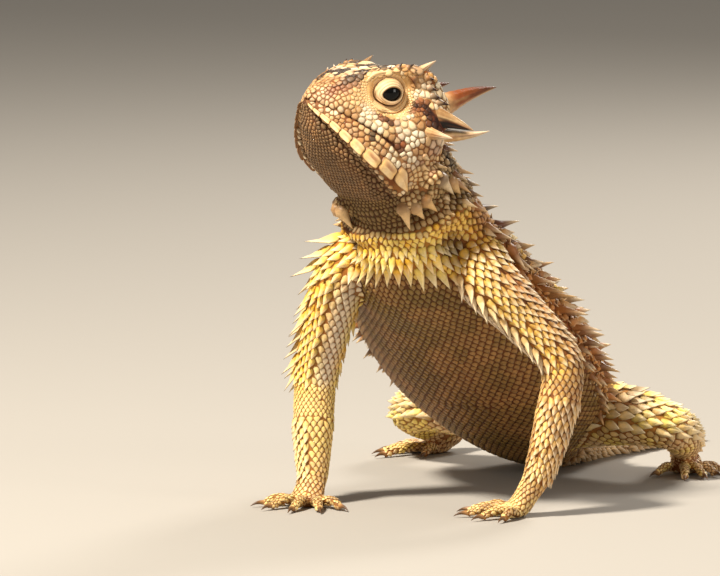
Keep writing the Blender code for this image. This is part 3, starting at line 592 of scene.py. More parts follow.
@dataclass
class Head:
    """The head through the lines that run over it, in its own frame: left, back and up from the snout."""

    yaw: float = HEAD_YAW
    pitch: float = HEAD_PITCH
    length: float = HEAD_LENGTH * MM
    steps: tuple[int, int] = (84, 71)  # marks along and across the left half, which points are matched with

    def __post_init__(self) -> None:
        """Works out the axes of the head and the marks on it."""
        level = math.cos(self.pitch)
        self.left = np.array((math.cos(self.yaw), -math.sin(self.yaw), 0.0))
        self.back = np.array((math.sin(self.yaw) * level, math.cos(self.yaw) * level, -math.sin(self.pitch)))
        self.up = np.cross(-self.back, self.left)
        self.names = list(HEAD_LINES)
        self.sides = 2 * len(self.names) - 2
        along = np.linspace(HEAD_START, HEAD_LENGTH, self.steps[0])
        marks = np.meshgrid(along, np.linspace(0, 7, self.steps[1]))
        self.marks = np.column_stack([values.ravel() for values in marks])
        self.tree = tree_of(self.local(self.on_line(*self.marks.T)))

    def on_line(self, y: Array, line: Array, side: int = 1) -> Array:
        """Body points on the head by their place and line.

        Args:
            y: millimetres behind the snout.
            line: number of the line, from the crown, 0, to the chin, 7.
            side: 1 for left and -1 for right.

        Returns:
            One point for each pair.
        """
        y, line = np.broadcast_arrays(np.asarray(y, float), np.asarray(line, float))
        angle = side * line.ravel() / self.sides * 2 * math.pi
        return self.points(y.ravel() * MM, angle).reshape(*y.shape, 3)

    def folded(self, points: Array) -> Array:
        """Local millimetre points of body points, with the right half folded on to the left.

        Args:
            points: body points.

        Returns:
            Their local points.
        """
        local = self.local(points)
        local[:, 0] = np.abs(local[:, 0])
        return local

    def where(self, points: Array) -> tuple[Array, Array]:
        """Millimetres behind the snout and number of the line, 0 to 7 on either side, nearest to points."""
        return tuple(self.marks[[self.tree.find(place)[1] for place in self.folded(points)]].T)

    def place(self, local: Array, side: int = 1) -> Array:
        """Body points of local millimetre points, mirrored to the right where side is -1."""
        p = np.asarray(local, float) * MM * (side, 1, 1)
        return SNOUT * MM + p[..., 0:1] * self.left + p[..., 1:2] * self.back + p[..., 2:3] * self.up

    def local(self, points: Array) -> Array:
        """Local millimetre points of body points."""
        q = points - SNOUT * MM
        return np.stack([q @ self.left, q @ self.back, q @ self.up], axis=-1) / MM

    def line(self, name: str, y: Array) -> Array:
        """Local points of one of the head's lines.

        Args:
            name: name of the line.
            y: millimetres behind the snout.

        Returns:
            One point for each y.
        """
        y = np.atleast_1d(np.asarray(y, float))
        xz = cubic(np.column_stack([HEAD_PLACES, *HEAD_LINES[name]]), y)
        return np.column_stack([xz[:, 0], y, xz[:, 1]])

    def points(self, s: Array, angle: Array) -> Array:
        """Points of the head's surface: a cubic across the lines, each of which is a cubic along the head.

        Args:
            s: places behind the snout in metres.
            angle: angles round the head, a full turn from the crown over the left side.

        Returns:
            One body point for each pair.
        """
        s = np.atleast_1d(np.asarray(s, float))
        left = [self.line(name, s / MM) for name in self.names]
        mirror = np.array((-1.0, 1.0, 1.0))
        knots = np.array(left + [row * mirror for row in left[-2:0:-1]])
        w = np.asarray(angle, float) / (2 * math.pi) * self.sides
        i = np.floor(w).astype(int)
        f = (w - i)[:, None]
        at = np.arange(len(s))
        a, b, c, d = (knots[(i + k) % self.sides, at] for k in (-1, 0, 1, 2))
        p = b + f * (c - a) / 2 + f**2 * (a - 2.5 * b + 2 * c - d / 2) + f**3 * (1.5 * (b - c) + (d - a) / 2)
        return self.place(p - unit((p - self.middle(s)) * (1, 0, 1)) * SKIN_DEPTH)

    def direction(self, s: Array, angle: Array) -> Array:
        """The way back over the head's surface."""
        return unit(self.points(s + STEP, angle) - self.points(s - STEP, angle))

    @staticmethod
    def middle(s: Array) -> Array:
        """Local points inside the head at s behind the snout in metres."""
        return np.column_stack([np.zeros(len(s)), s / MM, 0.3 * s / MM])

    def outward(self, s: Array, points: Array) -> Array:
        """Roughly outward directions of points on the head."""
        return unit(points - self.place(self.middle(s)))

    def solid(self, rings: int, sides: int) -> Shape:
        """The whole head as a closed grid, with its poles a little before the snout and inside the neck.

        Args:
            rings: rings from front to back.
            sides: points of a ring.

        Returns:
            The shape.
        """
        s = np.linspace(HEAD_START, HEAD_LENGTH, rings) * MM
        grid = self.points(np.repeat(s, sides), np.tile(around(sides), rings)).reshape(rings, sides, 3)
        poles = (self.place((0, 0.1, 0.4)), self.place((0, HEAD_LENGTH + 1.0, 3.0)))
        return Shape.grid(grid, poles).turned_out()


# Folds of neck and chest: place along the axis, degrees off the belly's middle, both bell widths and height.
NECK_FOLDS = (
    (7.2, 72, 1.7, 11, 2.0),
    (9.0, 43, 1.6, 14, 2.1),
    (11.4, 60, 0.9, 42, -1.5),
    (13.5, 48, 0.8, 45, 1.5),
    (17.2, 54, 1.7, 16, -2.3),
    (12.6, 0, 0.7, 30, -0.6),
    (16.4, 0, 1.3, 38, 1.1),
    (26.0, 82, 2.0, 12, -1.6),
    (21.5, 98, 1.8, 9, 1.2),
)
HEAD = Head()
BODY = Tube(AXIS, LEFT, HEAD.left, NECK_TURN * MM, 1.12, NECK_FOLDS)


@dataclass
class Feet:
    """Palms, digits and claws at the ends of the limbs.

    Attributes:
        limbs: the tubes of the limbs by name.
        digit_radius: mean radius of a digit.
        digit_sizes: shares of it at root, knuckle and tip.
        inset: how far a digit starts inside the palm's end.
        beyond: how far it reaches past its stated length for that.
        knuckle_rise: height of the knuckle over the root.
        tip_drop: depth of digit tip and claw tip under their roots.
        claw_length: length of a claw.
        palm_root: how far a palm starts inside its limb.
    """

    limbs: dict[str, Tube]
    digit_radius: float = 0.72
    digit_sizes: tuple[float, float, float] = (1.15, 1.05, 0.85)
    inset: float = 1.6
    beyond: float = 1.2
    knuckle_rise: float = 0.45
    tip_drop: float = 0.3
    claw_length: float = 2.0
    palm_root: float = 0.8

    def __post_init__(self) -> None:
        """Lays out a palm tube, five digit tubes and five claws for each foot."""
        self.palms: dict[str, Tube] = {}
        self.digits: dict[str, list[Tube]] = {}
        self.claws: list[tuple[Array, Array, Array]] = []
        drop = UP * self.tip_drop * MM
        for name, (limb, heading, length, half, digits) in FEET.items():
            forward = unit(np.array((*heading, 0.0)))
            sideways = np.cross(forward, UP)
            self.palms[name], end = self.palm(self.limbs[limb], forward, sideways, length, half)
            self.digits[name] = []
            for angle, reach in digits:
                turn = math.radians(angle) * LIMBS[limb][2]
                way = forward * math.cos(turn) + sideways * math.sin(turn)
                root = end - forward * self.inset * MM + sideways * math.sin(turn) * half * 0.95 * MM
                root[2] = SOLE_HEIGHT * MM
                knuckle = root + way * (reach * 0.5 + self.beyond) * MM + UP * self.knuckle_rise * MM
                tip = root + way * (reach + self.beyond) * MM - drop
                rows = [(*(p / MM), *(self.digit_radius * size + SKIN_DEPTH / 2,) * 3)
                        for p, size in zip((root, knuckle, tip), self.digit_sizes)]
                self.digits[name].append(Tube(rows, sideways))
                self.claws.append((tip - way * 0.5 * MM, tip + way * self.claw_length * MM - drop, way))

    def palm(self, limb: Tube, forward: Array, sideways: Array, length: float,
             half: float) -> tuple[Tube, Array]:
        """The tube of a palm or sole, from the end of a limb down to the floor.

        Args:
            limb: tube that the palm grows from.
            forward: heading of the foot.
            sideways: direction across it.
            length: length of the palm.
            half: half its width.

        Returns:
            The tube and the palm's far end.
        """
        wrist, _, _, tangent, size = (value[0] for value in limb.frame(limb.length))
        start = wrist - tangent * self.palm_root * MM
        end = wrist + forward * length * MM
        # Share of the way, half width, height over and depth under.
        sections = ((0.0, *(size / MM)), (0.3, 2.3, 1.7, 1.9), (0.65, half, 1.2, 2.0),
                    (1.0, half - 0.2, 0.8, 1.6))
        rows = []
        for share, width, over, under in sections:
            centre = start + (end - start) * share
            height = start[2] + (SOLE_HEIGHT * MM - start[2]) * min(1.0, 1.25 * share) ** 0.8
            rows.append((centre[0] / MM, centre[1] / MM, height / MM, width, over, under))
        return Tube(rows, sideways), end


class Plan:
    """Every surface of the animal by name, and where a point lies on them."""

    def __init__(self) -> None:
        """Makes the limbs and feet."""
        self.limbs = {name: Tube(stations, hint) for name, (stations, hint, _) in LIMBS.items()}
        self.feet = Feet(self.limbs)
        self.tubes = {"body": BODY, **self.limbs, **self.feet.palms}

    def locate(self, points: Array) -> tuple[Array, Array, Array]:
        """The part that each point lies on: the one whose middle is nearest, in shares of its own size.

        Args:
            points: body points in metres.

        Returns:
            Names of the parts, places along them in millimetres and angles round them in degrees.
        """
        local = HEAD.local(points)
        y = np.clip(local[:, 1], HEAD_START, HEAD_LENGTH)
        top, low = HEAD.line("crown", y)[:, 2], HEAD.line("chin", y)[:, 2]
        wide = HEAD.line("cheek", y)[:, 0]
        across = local[:, 0] / wide
        height = (local[:, 2] - (top + low) / 2) / ((top - low) / 2)
        best = np.sqrt(across**2 + height**2 + ((local[:, 1] - y) / 3) ** 2)
        names = np.full(len(points), "head", dtype="<U12")
        along = local[:, 1].copy()
        angle = np.degrees(np.arctan2(height, across)) % 360
        for name, tube in self.tubes.items():
            s = np.linspace(0, tube.length, 48)
            centre, left, up, tangent, size = tube.frame(s)
            near = np.argmin(((points[:, None] - centre) ** 2).sum(-1), axis=1)
            d = points - centre[near]
            a, b, c = dot(d, left[near]), dot(d, up[near]), dot(d, tangent[near])
            tall = np.where(b > 0, size[near, 1], size[near, 2])
            share = np.sqrt((a / size[near, 0]) ** 2 + (b / tall) ** 2 + (c / (3 * MM)) ** 2)
            mine = share < best
            best[mine] = share[mine]
            names[mine] = name
            along[mine] = (s[near] + c)[mine] / MM
            angle[mine] = (np.degrees(np.arctan2(b / tall, a / size[near, 0])) % 360)[mine]
        return names, along, angle


def chart(red: int, green: int, blue: int) -> Array:
    """A field of the palette with its own paint."""
    return field(default_factory=lambda: paint(red, green, blue))


@dataclass(frozen=True)
class Palette:
    """Paints of the animal."""

    ivory: Array = chart(255, 238, 204)
    cream: Array = chart(236, 198, 142)
    gold: Array = chart(236, 184, 104)
    tan: Array = chart(190, 138, 84)
    rust: Array = chart(150, 76, 30)
    dark: Array = chart(44, 24, 14)
    # grey_tan and olive are the dun and olive of throat, neck and belly, darkened by painted shade.
    grey_tan: Array = chart(132, 100, 64)
    olive: Array = chart(130, 102, 46)
    yellow: Array = chart(240, 184, 50)
    lemon: Array = chart(246, 214, 108)
    lavender: Array = chart(226, 206, 184)
    sand: Array = chart(176, 124, 68)
    orange: Array = chart(206, 126, 44)


@dataclass
class Markings:
    """The animal's colours as a formula of place, which the skin and every scale on it share."""

    plan: Plan
    paint: Palette = field(default_factory=Palette)

    def colours(self, points: Array) -> Array:
        """The colour at each body point.

        Args:
            points: body points in metres.

        Returns:
            Linear colours, one row each.
        """
        names, along, angle = self.plan.locate(points)
        result = np.zeros((len(points), 3))
        for name in np.unique(names):
            mine = names == name
            p, s, a = points[mine], along[mine], angle[mine]
            if name == "head":
                result[mine] = self.head(p)
            elif name == "body":
                result[mine] = self.body(p, s, a)
            elif name.startswith("arm"):
                result[mine] = self.arm(p, s, (-LIMBS[name][2] * a) % 360, LIMBS[name][2])
            elif name.startswith("leg"):
                result[mine] = self.leg(p, s, (-LIMBS[name][2] * a) % 360)
            else:
                result[mine] = self.foot(p, 0.5 if name.startswith("hand") else 0.0)
        return result

    def head(self, points: Array) -> Array:
        """Cream head: dark blotches on top, a dark stripe behind the eye, rust bars on the cheek, dun throat
        in painted shade.

        Args:
            points: body points on the head.

        Returns:
            Their colours.
        """
        c = self.paint
        y, line = HEAD.where(points)
        n, m, f = layers(points, 2.4, 1), layers(points, 1.9, 5), noise(points, 0.8, 11)
        nose = ramp(1.0, 2.0, y) * ramp(7.0, 4.5, y) * bump(line, 2.1, 1.1)
        blotch = ramp(0.47, 0.53, noise(points, 1.5, 9)) * ramp(1.2, 2.5, y) * ramp(12.5, 10.5, y)
        edge = bump(line, 1.3, 0.4) * ramp(1.5, 3.0, y) * ramp(6.5, 5.0, y) * ramp(0.48, 0.56, m)
        brow = bump(line, 1.3, 0.35) * ramp(4.0, 5.5, y) * ramp(14, 12.5, y)
        stripe = np.interp(y, [9.5, 10.3, 12.5, 14.0, 16.5, 20], [2.8, 2.75, 2.45, 2.5, 2.8, 2.9])
        band = bump(line, stripe + 0.2 * (n - 0.5), 0.24) * ramp(9.3, 10.2, y) * ramp(19.0, 17.5, y)
        bar = bump(line, 3.15, 0.3) * bump(y, 9.0, 1.7) * ramp(0.30, 0.5, m)
        spot = bump(line, 4.2, 0.2) * bump(y, 8.9, 1.0)
        streak = bump(line, 3.85, 0.25) * bump(y, 11.6, 1.6)
        rear = ramp(15.0, 17.0, y) * bump(line, 3.8, 0.8)
        eye = ramp(3.8, 2.8, Eyes.distance(HEAD.folded(points))) * (line < 3.2)
        mouth = ramp(0.07, 0.02, np.abs(line - 4.0)) * ramp(14.0, 13.0, y)
        return layered(
            mix(c.tan, c.cream, ramp(0.30, 0.60, n) * np.interp(y, [1, 7], [0.35, 0.95])),
            (c.ivory, ramp(0.42, 0.68, m) * np.interp(y, [2, 7], [0.25, 0.95])),
            (c.rust, nose * ramp(0.35, 0.65, m) * 0.75),
            (c.dark, ramp(1.15, 0.85, line) * blotch * 0.93),
            (c.dark, edge * 0.8),
            (mix(c.gold, c.orange, m), brow * ramp(0.2, 0.5, f) * 0.85),
            (c.rust, ramp(0.2, 0.5, band) * 0.9),
            (c.dark, ramp(0.35, 0.6, band) * ramp(0.40, 0.6, f) * 0.88),
            (c.rust, ramp(0.15, 0.5, bar) * 0.85),
            (c.dark, ramp(0.3, 0.6, bar) * ramp(0.5, 0.62, f) * 0.85),
            (c.ivory, bump(line, 2.85, 0.25) * bump(y, 10.6, 0.7) * 0.8),
            (c.dark, ramp(0.3, 0.6, spot) * ramp(0.3, 0.5, f) * 0.85),
            (c.rust, ramp(0.2, 0.6, streak) * ramp(0.35, 0.6, f) * 0.9),
            (c.rust, rear * ramp(0.35, 0.6, m) * 0.85),
            (mix(c.cream, c.gold, n * 0.4), eye * 0.9),
            (c.rust * 0.5, mouth * 0.9),
            # The throat's dun, darkened by painted shade.
            (mix(c.grey_tan, c.tan, ramp(0.5, 0.9, m) * 0.5), ramp(5.28, 5.42, line)),
        )

    def body(self, points: Array, s: Array, angle: Array) -> Array:
        """Dun neck and olive belly darkened by painted shade, yellow collar, sandy back with paired dark
        blotches, barred tail.

        Args:
            points: body points on neck, trunk and tail.
            s: places along the axis in millimetres.
            angle: angles round it in degrees.

        Returns:
            Their colours.
        """
        c = self.paint
        off = off_belly(angle)
        n, m = layers(points, 3.4, 21), layers(points, 1.4, 25)
        mound = np.maximum(bump(s, 7.4, 1.8) * bump(off, 68, 14), bump(s, 9.2, 1.5) * bump(off, 43, 15))
        nape = ramp(92, 112, off) * (1 - ramp(150, 170, off)) * ramp(12.5, 9.0, s)
        neck = layered(
            # Dun neck, darkened by painted shade.
            mix(c.grey_tan, c.olive, ramp(3, 9, s) * 0.6),
            (c.cream, ramp(40, 75, off) * ramp(0.42, 0.62, m) * 0.75),
            (c.cream, ramp(0.2, 0.6, mound) * ramp(0.25, 0.55, m) * 0.9),
            (c.cream, bump(s, 13.5, 1.0) * bump(off, 45, 38) * ramp(0.2, 0.5, m) * 0.85),
            (c.dark, nape * ramp(0.25, 0.5, n) * 0.8),
        )
        # Olive belly, darkened by painted shade.
        belly = mix(mix(c.olive, c.tan, ramp(0.3, 0.8, n) * 0.45), c.rust, bump(s, 48, 14) * 0.18)
        gold = mix(mix(c.yellow, c.lemon, ramp(0.3, 0.6, m) * 0.9), c.orange, bump(off, 64, 18) * 0.35)
        back = mix(mix(c.sand, c.gold, ramp(0.45, 0.75, m) * 0.55), c.rust, ramp(0.35, 0.7, n) * 0.3)
        blotch = np.zeros(len(s))
        for centre, size in ((22.0, 3.2), (33.0, 3.6), (44.5, 3.6), (56.0, 3.2), (66.5, 2.6)):
            spot = bump(s, centre + 4 * (n - 0.5), size) * bump(off, 133, 20)
            blotch = np.maximum(blotch, ramp(0.30, 0.62, spot))
            back = mix(back, c.lemon, bump(s, centre + size * 1.25, 1.1) * bump(off, 133, 24) * 0.8)
        edge = np.interp(off, [0, 30, 60, 80], [18.0, 18.9, 21.5, 24.0])
        bars = ramp(0.55, 0.8, 0.5 + 0.5 * np.cos((s - 81) / 6.6 * 2 * math.pi) + 0.3 * (n - 0.5))
        tail = mix(mix(c.sand, c.cream, m), c.dark, bars * ramp(80, 100, off) * 0.8)
        return layered(
            back,
            (c.dark, blotch * 0.85),
            (c.ivory, ramp(172, 177, off) * 0.85),
            (c.orange, bump(off, 88, 7) * ramp(20, 26, s) * 0.5),
            (belly, ramp(84, 74, off) * ramp(16, 21, s)),
            (neck, ramp(15.0, 13.0, s)),
            (gold, ramp(12.9, 13.9, s) * ramp(0.4, -0.4, s - edge) * ramp(92, 72, off)),
            # Painted shadow in the groove of the fold 17.2 along and 54 degrees off the belly.
            (c.olive * 0.4, ramp(0.15, 0.7, bump(s, 17.2, 1.7) * bump(off, 54, 15)) * 0.8),
            (tail, ramp(74, 80, s)),
        )

    def arm(self, points: Array, s: Array, angle: Array, side: int) -> Array:
        """Golden arm: pale inner face, yellow line down the front, brown top with cream, banded forearm.

        Args:
            points: body points on an arm.
            s: places along it in millimetres.
            angle: degrees round it from the back over its outer side.
            side: 1 for left and -1 for right.

        Returns:
            Their colours.
        """
        c = self.paint
        n, m = layers(points, 3.0, 41), layers(points, 1.2, 45)
        brown = mix(c.sand, c.rust, ramp(0.4, 0.7, m) * 0.7)
        fore = mix(c.sand, c.gold, ramp(0.35, 0.65, m)) if side > 0 else mix(c.lemon, c.cream, n)
        bars = ramp(0.6, 0.9, 0.5 + 0.5 * np.cos(s / 6.5 * 2 * math.pi + n * 2)) * bump(angle, 40, 60)
        return layered(
            mix(c.lemon, c.yellow, ramp(0.35, 0.7, n)),
            (c.sand, np.full(len(s), 0.45 if side > 0 else 0.0)),
            (c.yellow, bump(angle, 165, 22) * 0.6),
            (c.lavender, bump(angle, 228, 34) * ramp(26.0, 21.0, s) * 0.9),
            (brown, bump(angle, 90, 50) * ramp(3.0, 9.0, s) * (0.9 if side > 0 else 0.3)),
            (fore, ramp(22.0, 26.0, s) * 0.8),
            (c.dark, bars * 0.5),
        )

    def leg(self, points: Array, s: Array, angle: Array) -> Array:
        """Pale yellow leg with brown bars on top.

        Args:
            points: body points on a leg.
            s: places along it in millimetres.
            angle: degrees round it from its top.

        Returns:
            Their colours.
        """
        c = self.paint
        n, m = layers(points, 3.0, 61), layers(points, 1.2, 65)
        bars = ramp(0.6, 0.85, 0.5 + 0.5 * np.cos(s / 7.5 * 2 * math.pi + n * 2)) * bump(angle, 10, 60)
        return layered(
            mix(c.lemon, c.cream, ramp(0.3, 0.7, n)),
            (c.sand, ramp(0.5, 0.8, m) * 0.6),
            (c.dark, bars * 0.6),
        )

    def foot(self, points: Array, yellow: float) -> Array:
        """Sandy foot with a share of yellow."""
        c, n = self.paint, layers(points, 1.6, 81)
        return mix(mix(c.cream, c.lemon, np.full(len(n), yellow)), c.sand, ramp(0.35, 0.75, n) * 0.8)


@dataclass
class Skin:
    """One closed skin over the whole animal, remeshed out of its tubes and smoothed.

    Attributes:
        plan: surfaces of the animal.
        voxel: width of a voxel.
        rounds: rounds of smoothing.
        between: share of the markings' colour left on the skin between scales, for each channel: painted
            shade, warmed towards brown.
        round_eyes: the same painted shade, lighter, on the smooth skin round the eyes.
    """

    plan: Plan
    voxel: float = 0.40
    rounds: int = 3
    between: tuple[float, float, float] = (0.38, 0.22, 0.11)
    round_eyes: tuple[float, float, float] = (0.80, 0.70, 0.56)

    def __post_init__(self) -> None:
        """Works out the skin and its search tree."""
        self.obj = self.remeshed()
        mesh = self.obj.data
        points = self.carved(self.smoothed(read(mesh.vertices, "co", 3).astype(float)))
        points[:, 2] = np.maximum(points[:, 2], FLOOR_ROOM)
        fill(mesh.vertices, "co", points)
        mesh.update()
        mesh.shade_smooth()
        self.points = points
        self.normals = read(mesh.vertices, "normal", 3).astype(float)
        mesh.calc_loop_triangles()
        self.tris = read(mesh.loop_triangles, "vertices", 3, np.int32)
        self.tree = BVHTree.FromPolygons(points.tolist(), self.tris.tolist())

    def painted(self, markings: Markings) -> bpy.types.Object:
        """The skin's object at its place in the frame, with its markings darkened by painted shade between the
        scales, less round the eyes.

        Args:
            markings: colours by place.

        Returns:
            The finished object.
        """
        # Painted shade: the skin between scales keeps only part of the markings' colour, warmed towards brown,
        # and more of it round the eyes.
        near_eye = ramp(6.5, 4.2, Eyes.distance(HEAD.folded(self.points)))
        shade = mix(np.array(self.between), self.round_eyes, near_eye)
        mark(self.obj.data, markings.colours(self.points) * shade)
        fill(self.obj.data.vertices, "co", self.points - MIDDLE)
        self.obj.data.update()
        return self.obj

    def remeshed(self) -> bpy.types.Object:
        """All parts joined and remeshed by voxels into one closed surface, in body coordinates.

        Returns:
            The object of that surface.
        """
        shapes = [HEAD.solid(60, 72), BODY.solid(0.6, 110)]
        shapes += [tube.solid(0.6, 40) for tube in self.plan.limbs.values()]
        shapes += [tube.solid(0.4, 30) for tube in self.plan.feet.palms.values()]
        shapes += [tube.solid(0.4, 12) for tubes in self.plan.feet.digits.values() for tube in tubes]
        rough = Shape.join(shapes).to_object("skin", shift=False)
        modifier = rough.modifiers.new("remesh", "REMESH")
        modifier.mode = "VOXEL"
        modifier.voxel_size = self.voxel * MM
        graph = bpy.context.evaluated_depsgraph_get()
        mesh = bpy.data.meshes.new_from_object(rough.evaluated_get(graph))
        rough.modifiers.clear()
        rough.data = mesh
        return rough

    def smoothed(self, points: Array) -> Array:
        """Points moved towards the mean of their neighbours and partly back, which keeps the size.

        Args:
            points: the mesh's points.

        Returns:
            The same points, smoothed.
        """
        a, b = read(self.obj.data.edges, "vertices", 2, np.int32).T
        count = np.bincount(a, minlength=len(points)) + np.bincount(b, minlength=len(points))
        for _ in range(self.rounds):
            for strength in (0.6, -0.62):
                total = np.stack([
                    np.bincount(a, points[b, k], len(points)) + np.bincount(b, points[a, k], len(points))
                    for k in range(3)
                ], axis=-1)
                points = points + (total / count[:, None] - points) * strength
        return points

    @staticmethod
    def carved(points: Array) -> Array:
        """Points sunk into the head at the mouth, under the jaw's plates, at nostrils and in eye sockets.

        Args:
            points: the mesh's points.

        Returns:
            The same points, carved.
        """
        everywhere = points.copy()
        near = np.linalg.norm(points - HEAD.place((0, 9, 2)), axis=1) < 17 * MM
        local = HEAD.local(points[near])
        y, line = HEAD.where(points[near])
        mouth = np.interp(local[:, 1], *np.array(MOUTH_LINE).T)
        depth = 0.45 * bump(local[:, 2], mouth, 0.3) * ramp(MOUTH_CORNER, MOUTH_CORNER - 1.5, y) * (line > 3)
        depth = depth + 0.7 * bump(line, 5.62, 0.25) * ramp(0.5, 3.0, y) * ramp(19.0, 16.5, y)
        for side in (1, -1):
            hole = np.linalg.norm(local - np.array(NOSTRIL) * (side, 1, 1), axis=1)
            depth = depth + 0.6 * bump(hole, 0.0, 0.5)
        middle = np.column_stack([0 * y, np.maximum(local[:, 1], 1.5) + 1.0, 0.3 * y])
        local = local - unit(local - middle) * depth[:, None]
        for side in (1, -1):
            offset = local - np.array(EYE_CENTRE) * (side, 1, 1)
            look = unit(np.array(EYE_LOOK) * (side, 1, 1))
            out = offset @ look
            radius = np.linalg.norm(offset - out[:, None] * look, axis=1)
            sunk = ramp(3.3, 2.2, radius) * (out > 0)
            local = local - look * (np.maximum(out - 0.3, 0) * sunk)[:, None]
        everywhere[near] = HEAD.place(local)
        return everywhere

    def land(self, points: Array) -> tuple[Array, Array, Array]:
        """The nearest places on the skin.

        Args:
            points: body points.

        Returns:
            The places, the skin's smooth normals there and the distances.
        """
        found = [self.tree.find_nearest(Vector(p)) for p in points]
        places = np.array([hit[0] for hit in found])
        corner = self.tris[[hit[2] for hit in found]]
        return places, unit(self.normals[corner].sum(1)), np.array([hit[3] for hit in found])


@dataclass(frozen=True)
class Traits:
    """A kind of scale, in shares of its radius.

    Attributes:
        height: height of its dome.
        overlap: reach of the tip past the outline.
        point: how straight its point is.
        keel: height of its keel.
        lift: how far the tip stands off.
        gap: distance to the next one.
        pale: how pale the tip is.
        rim: share of the colour left at the rim, which painted shade darkens.
        rings: shares of the outline that its rings lie at.
    """

    height: float
    overlap: float = 0.0
    point: float = 0.0
    keel: float = 0.0
    lift: float = 0.0
    gap: float = 0.07
    pale: float = 0.0
    rim: float = 0.45
    rings: tuple[float, ...] = (0.5, 0.82, 1.0)


class Form(Enum):
    """Kinds of scales."""

    FINE = Traits(0.34, 0.15, 0.2, 0.0, 0.10, 0.06, 0.05, 0.60, (0.6, 1.0))
    BELLY = Traits(0.20, 0.20, 0.6, 0.0, 0.12, 0.04, 0.10, 0.72, (0.6, 1.0))
    GRAIN = Traits(0.55, 0.15, 0.3, 0.25, 0.25, 0.05, 0.20, 0.45, (0.6, 1.0))
    BEAD = Traits(0.24, gap=0.025, rim=0.42)
    PLATE = Traits(0.20, keel=0.05, gap=0.025, rim=0.42)
    SHINGLE = Traits(0.20, 0.35, 0.7, 0.10, 0.28, 0.03, 0.35, 0.55)
    KEEL = Traits(0.22, 0.95, 0.95, 0.42, 0.80, 0.02, 0.70, 0.50)
    COLLAR = Traits(0.20, 1.5, 1.0, 0.40, 1.05, 0.02, 0.70, 0.60)
    HACKLE = Traits(0.22, 1.8, 1.0, 0.50, 1.80, 0.02, 0.75, 0.55)
    POINTED = Traits(0.45, 0.9, 1.0, 0.7, 1.3, 0.05, 0.6, 0.40)


FORMS = list(Form)


@dataclass
class Seeds:
    """Places that scales grow from, each with its lie, size, form, rank and patch on the unwrapped skin."""

    root: Array
    along: Array
    outward: Array
    size: Array
    form: Array
    rank: Array
    uv: Array
    group: Array

    @staticmethod
    def make(root: Array, along: Array, outward: Array, size: Array, form: Form, rank: int, uv: Array,
             group: str) -> "Seeds":
        """Seeds of one form in one group.

        Args:
            root: body points near the skin.
            along: directions that the tips point in.
            outward: rough outward directions.
            size: radius that each scale may reach, in metres.
            form: form of the scales.
            rank: higher ranks push lower ones out of their place.
            uv: places on the unwrapped skin.
            group: piece that they belong to.

        Returns:
            The seeds.
        """
        n = len(root)
        sizes = np.broadcast_to(np.asarray(size, float), n).copy()
        names = np.full(n, group, dtype="<U16")
        kinds = np.full(n, FORMS.index(form))
        return Seeds(root, along, outward, sizes, kinds, np.full(n, rank), uv, names)

    def take(self, chosen: Array) -> "Seeds":
        """Some of the seeds."""
        return Seeds(*(getattr(self, each.name)[chosen] for each in fields(self)))

    @staticmethod
    def join(parts: list["Seeds"]) -> "Seeds":
        """All seeds of several sets.

        Args:
            parts: the sets.

        Returns:
            One set in their order.
        """
        return Seeds(*(
            np.concatenate([getattr(part, each.name) for part in parts]) for each in fields(Seeds)
        ))


@dataclass(frozen=True)
class Field:
    """A field of scales on a part: group, stretch along it, angles round it, spacing at both ends, form and
    rank, distance of its rows in spacings and how far the ends of its rows lag behind their middle.
    """

    part: str
    group: str
    first: float
    last: float
    start: float
    end: float
    pitch: float
    end_pitch: float
    form: Form
    rank: int = 1
    stretch: float = 0.85
    sweep: float = 0.0

    def seeds(self, surface: Tube | Head, rng: np.random.Generator) -> Seeds:
        """Staggered rows at equal steps of arc, every second one half a step on.

        Args:
            surface: surface that the field lies on.
            rng: source of small shifts.

        Returns:
            The seeds of the field.
        """
        a0, a1 = math.radians(self.start), math.radians(self.end)
        s = np.linspace(self.first, self.last, 200) * MM
        guide = surface.points(s, np.full(200, (a0 + a1) / 2))
        way = np.append(0, np.cumsum(np.linalg.norm(np.diff(guide, axis=0), axis=1)))
        mean = (self.pitch + self.end_pitch) / 2 * MM
        rows = max(1, round(way[-1] / (mean * self.stretch)))
        share = (np.arange(rows) + 0.5) / rows
        growth = self.end_pitch / self.pitch
        eased = share if abs(growth - 1) < 0.01 else (growth**share - 1) / (growth - 1)
        at = np.interp(eased * way[-1], way, s)
        pitch = (self.pitch + (self.end_pitch - self.pitch) * share) * MM
        turn = np.linspace(a0, a1, 160)
        ring = surface.points(np.repeat(at, 160), np.tile(turn, rows)).reshape(rows, 160, 3)
        steps = np.linalg.norm(np.diff(ring, axis=1), axis=2)
        arc = np.concatenate([np.zeros((rows, 1)), np.cumsum(steps, axis=1)], 1)
        columns = max(1, round(arc[rows // 2, -1] / mean))
        place = (np.arange(columns)[None] + 0.5 * (np.arange(rows) % 2)[:, None] + 0.25) / columns
        if abs(self.end - self.start) > 359:
            place = place % 1.0
        angle = np.concatenate([np.interp(row * way[-1], way, turn) for row, way in zip(place, arc)])
        along = np.repeat(at, columns)
        jitter = rng.normal(0, 0.05, (2, len(along)))
        wide = np.repeat(arc[:, -1] / columns, columns)
        tall = np.repeat(pitch, columns)
        along = along + jitter[0] * tall
        angle = angle + jitter[1] * (a1 - a0) / columns
        along = along + self.sweep * MM * ((angle - (a0 + a1) / 2) / (a1 - a0) * 2) ** 2
        root = surface.points(along, angle)
        size = 0.62 * np.maximum(wide, tall)
        uv = np.column_stack([along / surface.length, (angle / (2 * math.pi)) % 1.0]) * 0.96 + 0.02
        out = surface.outward(along, root)
        way = surface.direction(along, angle)
        return Seeds.make(root, way, out, size, self.form, self.rank, uv, self.group)


